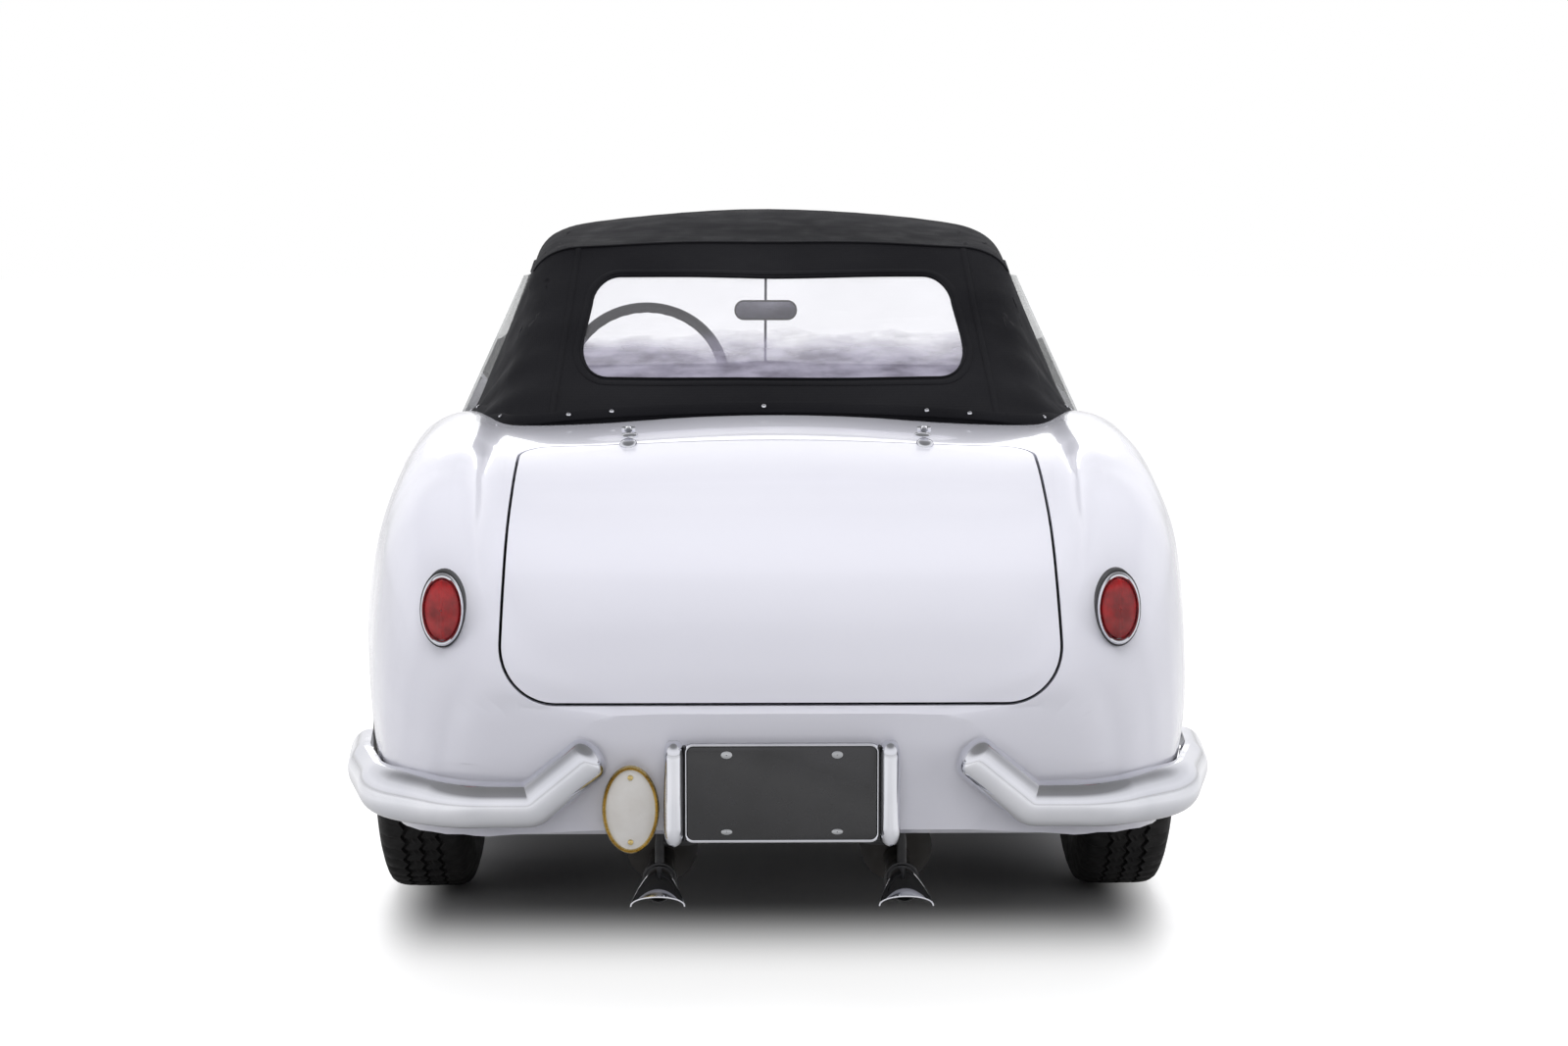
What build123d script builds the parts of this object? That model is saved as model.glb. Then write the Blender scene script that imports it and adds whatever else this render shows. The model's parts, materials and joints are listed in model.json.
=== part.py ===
from build123d import *

import os
from math import acos, atan, atan2, cos, degrees, hypot, pi, radians, sin, sqrt, tan

# Two-seat roadster with its soft top up, in millimetres.
# +Y points forward, +X to the car's right and +Z up. The origin is on the ground
# under the centre of the overall length.

# ---------------------------------------------------------------- driving sizes
WHEELBASE = 2450
REAR_AXLE_Y = -1075
FRONT_AXLE_Y = REAR_AXLE_Y + WHEELBASE
TRACK = 1304
WHEEL_X = TRACK / 2

TYRE_RADIUS = 327
TYRE_WIDTH = 172
TREAD_WIDTH = 128
RIM_RADIUS = 190
RIM_WALL = 5
HUB_BORE = 25
FIT = 0.3                # clearance of a seat, a seal or a turning fit

SKIN = 16                # wings, tail, bonnet and boot lid, with their inner frames
SHUT_GAP = 5             # gap round the bonnet and the boot lid
DOOR_GAP = 6

DOOR_FRONT_Y = 520
DOOR_REAR_Y = -600
DOOR_BOTTOM_Z = 330
DOOR_INNER_X = 648

BONNET_REAR_Y = 655
BONNET_FRONT_Y = 1900
BONNET_REAR_X = 530
BONNET_FRONT_X = 405
BOOT_TOP_Y = -1494
BOOT_BOTTOM_Z = 505
BOOT_X = 450

FRONT_ARCH_RADIUS = 375
FRONT_ARCH_Z = 300
REAR_ARCH_RADIUS = 350
REAR_ARCH_Z = 285

SHEET = 8                # floor and bulkheads
FLOOR_Z = 245
SILL_X = 640             # inner face of the sill boxes
COCKPIT_REAR_Y = -1000
COCKPIT_REAR_X = 560
HEELBOARD_Y = -690
SHELF_Z = 560
BOOT_FLOOR_Z = 320
AXLE_FLOOR_Z = 440
AXLE_FLOOR_REAR_Y = -1330
FIREWALL_Y = 660
TUNNEL_X = 135
TUNNEL_FRONT_Z = 545
TUNNEL_REAR_Z = 430
RAIL_X = 330
RAIL_WIDTH = 52
RAIL_Z = 300
RAIL_HEIGHT = 90
RAIL_FRONT_Y = 1940
HOUSE_WALL = 6
FRONT_HOUSE_RADIUS = 378
REAR_HOUSE_RADIUS = 354
FRONT_HOUSE_X = 388      # inner faces of the wheelhouses
REAR_HOUSE_X = 500

# Body sections from tail to nose: one row per station along Y. Each half section
# runs through six points: roof line, valley, wing crown, shoulder, widest, sill.
# y, mid_z, valley_x, valley_z, crown_x, crown_z, shoulder_x, shoulder_z, wide_x, wide_z, sill_x, sill_z
BODY = [
    (-2055, 488, 170, 488, 270, 486, 325, 455, 345, 400, 300, 300),
    (-2044, 506, 230, 506, 385, 503, 446, 462, 462, 400, 424, 292),
    (-2018, 552, 330, 549, 470, 560, 530, 512, 550, 405, 512, 287),
    (-1980, 612, 400, 606, 522, 628, 584, 572, 604, 412, 568, 284),
    (-1930, 674, 440, 667, 542, 712, 616, 632, 642, 430, 606, 281),
    (-1850, 748, 460, 742, 548, 795, 648, 690, 672, 475, 636, 279),
    (-1700, 828, 470, 820, 548, 862, 682, 706, 698, 500, 660, 273),
    (-1500, 884, 478, 872, 554, 896, 708, 700, 725, 515, 688, 267),
    (-1200, 916, 490, 895, 568, 910, 737, 672, 760, 520, 712, 258),
    (-900, 918, 505, 890, 594, 900, 752, 662, 775, 515, 718, 250),
    (-600, 910, 525, 866, 626, 864, 750, 660, 776, 510, 718, 245),
    (-100, 905, 540, 856, 652, 850, 746, 662, 775, 505, 715, 243),
    (450, 912, 535, 864, 648, 862, 738, 664, 770, 500, 712, 245),
    (900, 884, 470, 846, 618, 842, 708, 715, 768, 480, 712, 250),
    (1375, 815, 440, 790, 590, 812, 690, 720, 766, 450, 715, 255),
    (1650, 752, 415, 733, 575, 785, 674, 695, 748, 440, 702, 262),
    (1820, 700, 395, 688, 568, 758, 655, 672, 712, 435, 672, 268),
    (1920, 662, 370, 650, 555, 705, 625, 625, 665, 430, 628, 274),
    (1975, 624, 330, 612, 480, 622, 550, 555, 585, 425, 550, 282),
    (2015, 580, 240, 572, 360, 562, 430, 515, 462, 420, 430, 292),
    (2035, 545, 150, 540, 230, 532, 290, 490, 310, 420, 280, 305),
]

# Soft top sections from the windscreen rail to the hem on the rear deck.
# y, top_z, roof_x, roof_z, shoulder_x, shoulder_z, hem_x, hem_z
SOFT_TOP = [
    (352, 1256, 395, 1240, 480, 1198, 660, 820),
    (230, 1256, 395, 1240, 480, 1198, 660, 820),
    (60, 1288, 400, 1258, 488, 1203, 650, 820),
    (-150, 1300, 400, 1266, 494, 1204, 640, 820),
    (-430, 1284, 400, 1258, 494, 1200, 633, 820),
    (-680, 1232, 390, 1222, 484, 1166, 632, 820),
    (-860, 1132, 392, 1118, 496, 1058, 628, 820),
    (-1060, 1020, 396, 1004, 512, 958, 618, 820),
    (-1240, 918, 400, 902, 516, 868, 600, 800),
]
FABRIC = 8
WINDOW_TOP_Z = 1166      # lower edge of the fabric over the door glass
BOW_Y = -680             # rear bow of the hood
REAR_WINDOW_X = 370
REAR_WINDOW_Z = (975, 1165)
REAR_WINDOW_CORNER = 55
FILM = 3                 # clear sheet of the rear window
HOOP = (24, 18)          # width and depth of a hood bow

# Windscreen: arcs in plan at the scuttle and under the hood's front edge.
# z, half width, y at the sides, y in the middle
SCREEN_BASE = (820, 660, 450, 600)
SCREEN_TOP = (1260, 470, 232, 322)
SCREEN_FRAME = 26
SCREEN_BORDER = 26
SCREEN_GLASS = 6
SCREEN_LOW_Z = 926
SCREEN_HIGH_Z = 1220

# Door glass: line up its middle in the section, and its outline from the side.
GLASS = 5
GLASS_LOW = (655, 840)   # x, z
GLASS_HIGH = (507, 1160)
GLASS_BOTTOM_Z = 780
GLASS_REAR_Y = -566
GLASS_FRONT_LOW_Y = 418
GLASS_FRONT_HIGH_Y = 244

STEERING_HUB = (-280, 170, 905)
COLUMN_TILT = 25         # degrees below level, towards the front
COLUMN_RADIUS = 28
STEERING_RADIUS = 195
STEERING_GRIP = 13
STEERING_BOSS = 24       # depth of the boss ahead of the rim

SEAT_X = (155, 575)
SEAT_PROFILE = [(64, 300), (-430, 300), (-545, 330), (-600, 880), (-515, 885), (-400, 440), (60, 445)]
MIRROR = (150, 14, 48)
MIRROR_AT = (0, 390, 1060)
GEAR_LEVER_Y = 150
DASH_X = 589
POST_X = 590             # inner face of the door pillars
POST_DEPTH = 40

KINGPIN_X = WHEEL_X - 77
LOWER_ARM_Z = (196, 212)
UPPER_ARM_Z = (452, 468)
ARM_PIVOT_X = 382
ARM_HALF_BASE = 95

BUMPER_HEIGHT = 76
BUMPER_DEPTH = 38
BUMPER_WALL = 4
BUMPER_RADII = [300, 90, 90]
BUMPER_ARM_RADIUS = 40
REAR_FACE_Y = -2066      # open side of the bumpers across the tail
FRONT_FACE_Y = 2073
REAR_BUMPER_PATH = [(712, -1560), (695, -1740), (648, -1945), (514, REAR_FACE_Y), (440, REAR_FACE_Y)]
FRONT_BUMPER_PATH = [(720, -1810), (704, -1900), (655, -1990), (515, -FRONT_FACE_Y), (440, -FRONT_FACE_Y)]
BOOT_HINGE = (263, BOOT_TOP_Y + 32, 903)
REAR_BUMPER_Z = 345
FRONT_BUMPER_Z = 352

PLATE = (305, 152, 5)
PLATE_Z = 366
PLATE_REAR_Y = -2085
GUARD_X = (152, 189)
GUARD_Z = (282, 449)
GUARD_REAR_Y = -2111
PLAQUE = (91, 141, 5)
PLAQUE_AT = (-241, -2080, 339)
TAIL_Y = -2055           # flat face of the tail

TAIL_LAMP_AT = (545, 650)
TAIL_LAMP = (68, 114)
HEADLAMP_AT = (570, 632)
HEADLAMP_RADIUS = 88
HEADLAMP_Y = (1865, 1962)
NACELLE = (97, 106, 1775, 1944)  # front and rear radius of the wing end round the lamp, and its ends
INDICATOR_AT = (520, 505)
INDICATOR_RADIUS = 36
GRILLE_TOP = (280, 606)  # half width, z
GRILLE_LOW = (240, 336)
GRILLE_CORNER = 60
GRILLE_BAR_PITCH = 22

EXHAUST_X = 198
EXHAUST_Z = 200
EXHAUST_RADIUS = 22
EXHAUST_WALL = 2
EXHAUST_END_Y = -2040
ELBOW_Y = (900, 800)     # front of the downpipe, and its joint with the straight pipe
SILENCER_RADIUS = 60
SILENCER_Y = (-1800, -1380)
DOWNPIPE_TOP_Z = 330
PIPE_BORE_DEPTH = 130
DEFLECTOR_WALL = 2.4
RADIATOR_X = 290
RADIATOR_Y = (1760, 1815)
RADIATOR_Z = (300, 640)


def mirrored(piece):
    """Return the piece and its copy on the other side of the car."""
    return piece + mirror(piece, Plane.YZ)


def box(x0, x1, y0, y1, z0, z1):
    return Pos((x0 + x1) / 2, (y0 + y1) / 2, (z0 + z1) / 2) * Box(x1 - x0, y1 - y0, z1 - z0)


def bar_x(radius, x0, x1, y, z):
    """Round bar along X."""
    return Pos((x0 + x1) / 2, y, z) * Rot(0, 90, 0) * Cylinder(radius, x1 - x0)


def bar_y(radius, x, y0, y1, z):
    """Round bar along Y."""
    return Pos(x, (y0 + y1) / 2, z) * Rot(90, 0, 0) * Cylinder(radius, y1 - y0)


# ------------------------------------------------------------- section geometry
def biarc_joint(p0, t0, p1, t1):
    """Point where two arcs meet that leave p0 along t0 and reach p1 along t1."""
    vx, vz = p1[0] - p0[0], p1[1] - p0[1]
    a = 2 * (1 - t0[0] * t1[0] - t0[1] * t1[1])
    b = 2 * (vx * (t0[0] + t1[0]) + vz * (t0[1] + t1[1]))
    c = -(vx * vx + vz * vz)
    d = -c / b if abs(a) < 1e-9 else (-b + sqrt(b * b - 4 * a * c)) / (2 * a)
    return ((p0[0] + d * t0[0] + p1[0] - d * t1[0]) / 2,
            (p0[1] + d * t0[1] + p1[1] - d * t1[1]) / 2)


def arc_middle(p0, t0, p1):
    """Middle point of the arc that leaves p0 along t0 and ends at p1."""
    cx, cz = p1[0] - p0[0], p1[1] - p0[1]
    chord = hypot(cx, cz)
    s = (t0[0] * cz - t0[1] * cx) / chord
    c = (t0[0] * cx + t0[1] * cz) / chord
    rise = chord / 2 * (s / (1 + c))
    return (p0[0] + p1[0]) / 2 + rise * cz / chord, (p0[1] + p1[1]) / 2 - rise * cx / chord


def end_tangent(p0, t0, p1):
    cx, cz = p1[0] - p0[0], p1[1] - p0[1]
    chord = hypot(cx, cz)
    u = (cx / chord, cz / chord)
    d = 2 * (u[0] * t0[0] + u[1] * t0[1])
    return d * u[0] - t0[0], d * u[1] - t0[1]


def arc_edge(y, p0, middle, p1):
    chord = hypot(p1[0] - p0[0], p1[1] - p0[1])
    bow = abs((middle[0] - p0[0]) * (p1[1] - p0[1]) - (middle[1] - p0[1]) * (p1[0] - p0[0])) / chord
    start, end = Vector(p0[0], y, p0[1]), Vector(p1[0], y, p1[1])
    if bow < 0.01:
        return Edge.make_line(start, end)
    return Edge.make_three_point_arc(start, Vector(middle[0], y, middle[1]), end)


def section_wire(y, nodes):
    """Closed symmetric wire from (point, tangent at its start) pairs of the right half."""
    right, left = [], []
    for (p0, t0), (p1, _) in zip(nodes, nodes[1:]):
        middle = arc_middle(p0, t0, p1)
        right.append(arc_edge(y, p0, middle, p1))
        flip = [(-p[0], p[1]) for p in (p1, middle, p0)]
        left.append(arc_edge(y, flip[0], flip[1], flip[2]))
    last = nodes[-1][0]
    base = Edge.make_line(Vector(last[0], y, last[1]), Vector(-last[0], y, last[1]))
    return Wire(right + [base] + left[::-1])


def body_section(row):
    """Half section as tangent arcs: two biarcs over the top, two arcs down the side."""
    y, mid_z, vx, vz, cx, cz, sx, sz, wx, wz, lx, lz = row
    middle, valley, crown, shoulder, wide, sill = (
        (0, mid_z), (vx, vz), (cx, cz), (sx, sz), (wx, wz), (lx, lz))
    flat, down = (1, 0), (0, -1)
    up_at_shoulder = end_tangent(wide, (0, 1), shoulder)
    shoulder_tangent = (-up_at_shoulder[0], -up_at_shoulder[1])
    j1 = biarc_joint(middle, flat, valley, flat)
    j2 = biarc_joint(valley, flat, crown, flat)
    j3 = biarc_joint(crown, flat, shoulder, shoulder_tangent)
    return section_wire(y, [
        (middle, flat), (j1, end_tangent(middle, flat, j1)),
        (valley, flat), (j2, end_tangent(valley, flat, j2)),
        (crown, flat), (j3, end_tangent(crown, flat, j3)),
        (shoulder, shoulder_tangent), (wide, down), (sill, down)])


def body_row(index, inset):
    """Station moved inwards by the inset, square to the surface, open below if inset."""
    row = BODY[index]
    if inset == 0:
        return row
    before, after = BODY[max(index - 1, 0)], BODY[min(index + 1, len(BODY) - 1)]
    lean = atan((after[8] - before[8]) / (after[0] - before[0]))
    y, mid_z, vx, vz, cx, cz, sx, sz, wx, wz, lx, lz = row
    t = inset * cos(lean)
    reach = 30 if inset > 1 else 0
    wide_x, fall = wx - t, wz - lz
    drop = wx - lx
    bend = (drop * drop + fall * fall) / (2 * drop)
    sill_x = wide_x - bend + sqrt(bend * bend - (fall + reach) ** 2)
    return (y + inset * sin(lean), mid_z - t, vx, vz - t, cx - 0.2 * t, cz - t,
            sx - 0.75 * t, sz - 0.66 * t, wide_x, wz, sill_x, lz - reach)


def body_loft(inset=0):
    rows = [body_row(index, inset) for index in range(len(BODY))]
    return Solid.make_loft([body_section(row) for row in rows], True)


def soft_section(row, inset):
    y, top_z, rx, rz, sx, sz, hx, hz = row
    t = inset
    lean = atan2(hx - sx, sz - hz)
    top, roof = (0, top_z - t), (rx, rz - t)
    shoulder = (sx - t * cos(lean), sz - t * sin(lean) * 0.5)
    hem = (hx - t * cos(lean), hz - (60 if t > 0 else 0))
    flat = (1, 0)
    roof_tangent = end_tangent(top, flat, roof)
    run = hypot(hem[0] - shoulder[0], hem[1] - shoulder[1])
    side = ((hem[0] - shoulder[0]) / run, (hem[1] - shoulder[1]) / run)
    joint = biarc_joint(roof, roof_tangent, shoulder, side)
    return section_wire(y, [(top, flat), (roof, roof_tangent),
                            (joint, end_tangent(roof, roof_tangent, joint)),
                            (shoulder, side), (hem, side)])


def soft_loft(inset=0):
    rows = []
    for row in SOFT_TOP:
        lean_shift = 0.5 * inset if row[0] <= BOW_Y and inset > 0 else 0
        rows.append((row[0] + lean_shift,) + row[1:])
    return Solid.make_loft([soft_section(row, inset) for row in rows], True)


# ------------------------------------------------------------- shared volumes
OUTER = body_loft(0)
INNER = body_loft(SKIN)
AROUND = body_loft(-FIT)           # the body's outside plus a seal's clearance
WITHIN = body_loft(SKIN + FIT)     # the room inside the panels
SHELL = OUTER - INNER
HOOD_OUTER = soft_loft(0)
HOOD_INNER = soft_loft(FABRIC)


def side_prism(points, x0, x1, corner=0.0):
    """Solid from an outline of (y, z) points between two x planes."""
    face = Plane.YZ * make_face(Polyline([(y, z) for y, z in points], close=True))
    if corner > 0:
        face = fillet(face.vertices(), corner)
    return Pos(x0, 0, 0) * extrude(face, x1 - x0, dir=(1, 0, 0))


def rear_prism(points, y0, y1, corner=0.0):
    """Solid from an outline of (x, z) points between two y planes."""
    face = make_face(Polyline([(x, y0, z) for x, z in points], close=True))
    if corner > 0:
        face = fillet(face.vertices(), corner)
    return extrude(face, y1 - y0, dir=(0, 1, 0))


def plan_prism(points, z0, z1, corner=0.0):
    """Solid from an outline of (x, y) points between two z planes."""
    face = make_face(Polyline([(x, y, z0) for x, y in points], close=True))
    if corner > 0:
        face = fillet(face.vertices(), corner)
    return extrude(face, z1 - z0, dir=(0, 0, 1))


def arch(radius, y, z):
    """Round wheel opening through both sides of the body."""
    return mirrored(bar_x(radius, 640, 900, y, z))


ARCHES = arch(FRONT_ARCH_RADIUS, FRONT_AXLE_Y, FRONT_ARCH_Z) \
    + arch(REAR_ARCH_RADIUS, REAR_AXLE_Y, REAR_ARCH_Z)


# ---------------------------------------------------------------- body panels
def bonnet_prism(gap=0.0):
    rear, front = BONNET_REAR_Y - gap, BONNET_FRONT_Y + gap
    outline = [(-BONNET_REAR_X - gap, rear), (BONNET_REAR_X + gap, rear),
               (BONNET_FRONT_X + gap, front), (-BONNET_FRONT_X - gap, front)]
    face = make_face(Polyline([(x, y, 500) for x, y in outline], close=True))
    front_corners = face.vertices().sort_by(Axis.Y)[-2:]
    face = fillet(front_corners, 110 + gap)
    return extrude(face, 600, dir=(0, 0, 1))


def boot_prism(gap=0.0):
    x, low, front = BOOT_X + gap, BOOT_BOTTOM_Z - gap, BOOT_TOP_Y + gap
    tail = make_face(Polyline([(-x, -2200, low), (x, -2200, low), (x, -2200, 1200),
                               (-x, -2200, 1200)], close=True))
    tail = fillet(tail.vertices().sort_by(Axis.Z)[:2], 90 + gap)
    deck = make_face(Polyline([(-x, -2200, 400), (x, -2200, 400), (x, front, 400),
                               (-x, front, 400)], close=True))
    deck = fillet(deck.vertices().sort_by(Axis.Y)[-2:], 60 + gap)
    return extrude(tail, 1500, dir=(0, 1, 0)) & extrude(deck, 1000, dir=(0, 0, 1))


def door_prism(gap=0.0):
    rear, front = DOOR_REAR_Y + DOOR_GAP - gap, DOOR_FRONT_Y - DOOR_GAP + gap
    return box(DOOR_INNER_X - gap, 900, rear, front, DOOR_BOTTOM_Z - gap, 1100)


def grille_prism(inset, y0, y1):
    (top_x, top_z), (low_x, low_z) = GRILLE_TOP, GRILLE_LOW
    outline = [(-top_x + inset, top_z - inset), (top_x - inset, top_z - inset),
               (low_x - inset, low_z + inset), (-low_x + inset, low_z + inset)]
    return rear_prism(outline, y0, y1, GRILLE_CORNER - inset)


def front_body():
    """Front wings, scuttle and nose with the front door pillars."""
    panel = SHELL & box(-900, 900, DOOR_FRONT_Y, 2200, 0, 1200)
    pillar = OUTER & box(POST_X, 900, DOOR_FRONT_Y, DOOR_FRONT_Y + POST_DEPTH, FLOOR_Z + SHEET, 1200)
    cut = bonnet_prism(SHUT_GAP) + ARCHES + grille_prism(-FIT, 1900, 2200)
    lamp_x, lamp_z = HEADLAMP_AT
    cut += mirrored(bar_y(HEADLAMP_RADIUS + FIT, lamp_x, HEADLAMP_Y[0], 2200, lamp_z)
                    + bar_y(HEADLAMP_RADIUS - 14, lamp_x, 1700, HEADLAMP_Y[0] + 1, lamp_z))
    front_radius, rear_radius, rear_y, front_y = NACELLE
    nacelle = Solid.make_cone(rear_radius, front_radius, front_y - rear_y,
                              Plane((lamp_x, rear_y, lamp_z), z_dir=(0, 1, 0)))
    return panel + mirrored(pillar + nacelle) - cut


def rear_body():
    """Rear wings, deck and tail with the rear door pillars."""
    panel = SHELL & box(-900, 900, -2200, DOOR_REAR_Y, 0, 1200)
    pillar = OUTER & box(POST_X, 900, DOOR_REAR_Y - POST_DEPTH, DOOR_REAR_Y, FLOOR_Z + SHEET, 1200)
    seal = OUTER & box(POST_X, DOOR_INNER_X - FIT, DOOR_REAR_Y - POST_DEPTH,
                       DOOR_REAR_Y + 20, DOOR_BOTTOM_Z, 840)
    cockpit = plan_prism([(-COCKPIT_REAR_X, COCKPIT_REAR_Y), (COCKPIT_REAR_X, COCKPIT_REAR_Y),
                          (COCKPIT_REAR_X, 0), (-COCKPIT_REAR_X, 0)], 700, 1200, 120)
    return panel - cockpit + mirrored(pillar + seal) - boot_prism(SHUT_GAP) - ARCHES


def bonnet():
    return SHELL & bonnet_prism()


def boot_lid():
    return SHELL & boot_prism()


def door_glass(grow=0.0):
    """Flat side window that leans in with the hood."""
    (x0, z0), (x1, z1) = GLASS_LOW, GLASS_HIGH
    lean = (x1 - x0) / (z1 - z0)
    half = GLASS / 2 * sqrt(1 + lean * lean) + grow
    low_x = x0 + (GLASS_BOTTOM_Z - z0) * lean
    sheet = rear_prism([(low_x - half, GLASS_BOTTOM_Z - grow), (low_x + half, GLASS_BOTTOM_Z - grow),
                        (x1 + half, z1), (x1 - half, z1)], -700, 700)
    slope = (GLASS_FRONT_HIGH_Y - GLASS_FRONT_LOW_Y) / (z1 - z0)
    low_y = GLASS_FRONT_LOW_Y + (GLASS_BOTTOM_Z - z0) * slope
    outline = [(GLASS_REAR_Y - grow, GLASS_BOTTOM_Z - grow), (low_y + grow, GLASS_BOTTOM_Z - grow),
               (GLASS_FRONT_HIGH_Y + grow, z1), (GLASS_REAR_Y - grow, z1)]
    return sheet & side_prism(outline, 400, 800)


def door():
    return (OUTER & door_prism()) - door_glass(FIT)


def door_handle():
    """Pull handle on two feet, on the skin near the door's rear edge."""
    grip = Pos(768, -470, 742) * Rot(90, 0, 0) * Cylinder(9, 150)
    feet = bar_x(8, 690, 768, -530, 742) + bar_x(8, 690, 768, -410, 742)
    return (grip + feet) - AROUND


# --------------------------------------------------------- floor and structure
def bent_sheet(points, half_width):
    """Sheet of constant thickness that follows (y, z) points across the car."""
    strip = Plane.YZ * trace(Polyline([(y, z) for y, z in points]), SHEET)
    return extrude(strip, half_width, dir=(1, 0, 0)) + extrude(strip, half_width, dir=(-1, 0, 0))


def floor_pan():
    """Firewall, floor, shelf, bulkhead, boot floor, tunnel, sills and rails, each its own panel."""
    mid_floor = FLOOR_Z + SHEET / 2
    cabin = bent_sheet([(FIREWALL_Y, 990), (FIREWALL_Y, mid_floor), (HEELBOARD_Y, mid_floor),
                        (HEELBOARD_Y, SHELF_Z), (COCKPIT_REAR_Y, SHELF_Z), (COCKPIT_REAR_Y, 990)], 800)
    boot = bent_sheet([(COCKPIT_REAR_Y, SHELF_Z), (COCKPIT_REAR_Y, AXLE_FLOOR_Z),
                       (AXLE_FLOOR_REAR_Y, AXLE_FLOOR_Z),
                       (AXLE_FLOOR_REAR_Y, BOOT_FLOOR_Z), (-2100, BOOT_FLOOR_Z)], 800)
    between_doors = box(-900, 900, DOOR_REAR_Y - POST_DEPTH, DOOR_FRONT_Y + POST_DEPTH, 0, 1200) \
        - box(-SILL_X, SILL_X, -2000, 2000, 0, 1200)
    sheets = ((cabin + boot) & WITHIN) - between_doors
    tunnel = side_prism([(FIREWALL_Y, FLOOR_Z), (FIREWALL_Y, TUNNEL_FRONT_Z),
                         (HEELBOARD_Y, TUNNEL_REAR_Z), (HEELBOARD_Y, FLOOR_Z)], -TUNNEL_X, TUNNEL_X)
    hollow = side_prism([(FIREWALL_Y + 50, 0), (FIREWALL_Y + 50, TUNNEL_FRONT_Z - SHEET),
                         (HEELBOARD_Y - 50, TUNNEL_REAR_Z - SHEET), (HEELBOARD_Y - 50, 0)],
                        SHEET - TUNNEL_X, TUNNEL_X - SHEET)
    sill = OUTER & box(SILL_X, 900, DOOR_REAR_Y, DOOR_FRONT_Y, 0, DOOR_BOTTOM_Z - DOOR_GAP)
    rail = box(RAIL_X, RAIL_X + RAIL_WIDTH, FIREWALL_Y, RAIL_FRONT_Y, RAIL_Z, RAIL_Z + RAIL_HEIGHT)
    runner = box(SEAT_X[0] + 40, SEAT_X[0] + 70, -420, 40, FLOOR_Z + SHEET, 300 - FIT) \
        + box(SEAT_X[1] - 70, SEAT_X[1] - 40, -420, 40, FLOOR_Z + SHEET, 300 - FIT)
    houses = mirrored(bar_x(REAR_HOUSE_RADIUS + HOUSE_WALL + FIT, REAR_HOUSE_X - HOUSE_WALL - FIT, 900,
                            REAR_AXLE_Y, TYRE_RADIUS))
    whole = (sheets + tunnel - hollow + mirrored(sill + rail + runner)) - houses
    half = SHEET / 2
    seams = [2200]
    for bend in (FIREWALL_Y, HEELBOARD_Y, COCKPIT_REAR_Y, AXLE_FLOOR_REAR_Y):
        seams += [bend + half, bend - half]
    seams.append(-2200)
    lanes = [-900, -SILL_X, -TUNNEL_X, TUNNEL_X, SILL_X, 900]
    panels = []
    for front, rear in zip(seams, seams[1:]):
        slab = whole & box(-900, 900, rear, front, 0, 1300)
        if front == FIREWALL_Y - half:
            for left, right in zip(lanes, lanes[1:]):
                panels += (slab & box(left, right, rear, front, 0, 1300)).solids()
        else:
            panels += slab.solids()
    return Compound(children=panels)


def wheelhouse(radius, axle_y, inner_x, way_z):
    """Round inner arch with its side wall, open where the axle passes."""
    z = TYRE_RADIUS
    outer = bar_x(radius + HOUSE_WALL, inner_x - HOUSE_WALL, 900, axle_y, z)
    inner = bar_x(radius, inner_x, 900, axle_y, z)
    upper = box(0, 900, axle_y - 600, axle_y + 600, FRONT_ARCH_Z, 1200)
    way = box(0, inner_x + 1, axle_y - 200, axle_y + 200, 0, way_z)
    return ((outer - inner) & upper & WITHIN) - way


def wheelhouses():
    front = wheelhouse(FRONT_HOUSE_RADIUS, FRONT_AXLE_Y, FRONT_HOUSE_X, 520)
    rear = wheelhouse(REAR_HOUSE_RADIUS, REAR_AXLE_Y, REAR_HOUSE_X, 430)
    return mirrored(front + rear)


# ------------------------------------------------------ engine and running gear
def engine_block():
    """Engine as one plain block between the front rails, on two mounts."""
    block = box(-225, 225, 860, 1640, 330, 715)
    mounts = mirrored(box(225, RAIL_X, 1180, 1260, RAIL_Z + 30, RAIL_Z + 70))
    return block + mounts


def gearbox_and_shaft():
    case = Solid.make_cone(105, 60, 520, Plane((0, 860, 410), z_dir=(0, -1, 0)))
    shaft_run = 860 - 520 - (REAR_AXLE_Y + 120)
    drop = 410 - TYRE_RADIUS
    direction = Vector(0, -shaft_run, -drop)
    shaft = Solid.make_cylinder(30, direction.length, Plane((0, 340, 410), z_dir=direction))
    return case + shaft


def rear_axle():
    """Final drive, half shafts, dead beam, hub carriers and leaf springs."""
    z, y = TYRE_RADIUS, REAR_AXLE_Y
    drive = Pos(0, y, z) * Sphere(108) & box(-95, 95, y - 120, y + 110, z - 105, z + 104)
    beam = bar_x(28, -540, 540, y - 150, z)
    half = bar_x(16, 60, 530, y, z)
    carrier = bar_x(58, 512, 566, y, z) + box(512, 556, y - 176, y, z - 30, z + 30)
    stub = bar_x(HUB_BORE, 566, WHEEL_X - 6, y, z)
    curve = ThreePointArc((y + 360, 335), (y, 256), (y - 430, 298))
    leaves = Pos(448, 0, 0) * extrude(Plane.YZ * trace(curve, 26), 44, dir=(1, 0, 0))
    pad = box(448, 520, y - 50, y + 50, 269, z)
    front_eye = box(440, 493, HEELBOARD_Y - 60, HEELBOARD_Y - SHEET / 2, 300, 370)
    shackle = box(446, 494, y - 440, y - 405, 290, BOOT_FLOOR_Z - SHEET / 2)
    return drive + beam + mirrored(half + carrier + stub + leaves + pad + front_eye + shackle)


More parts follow.
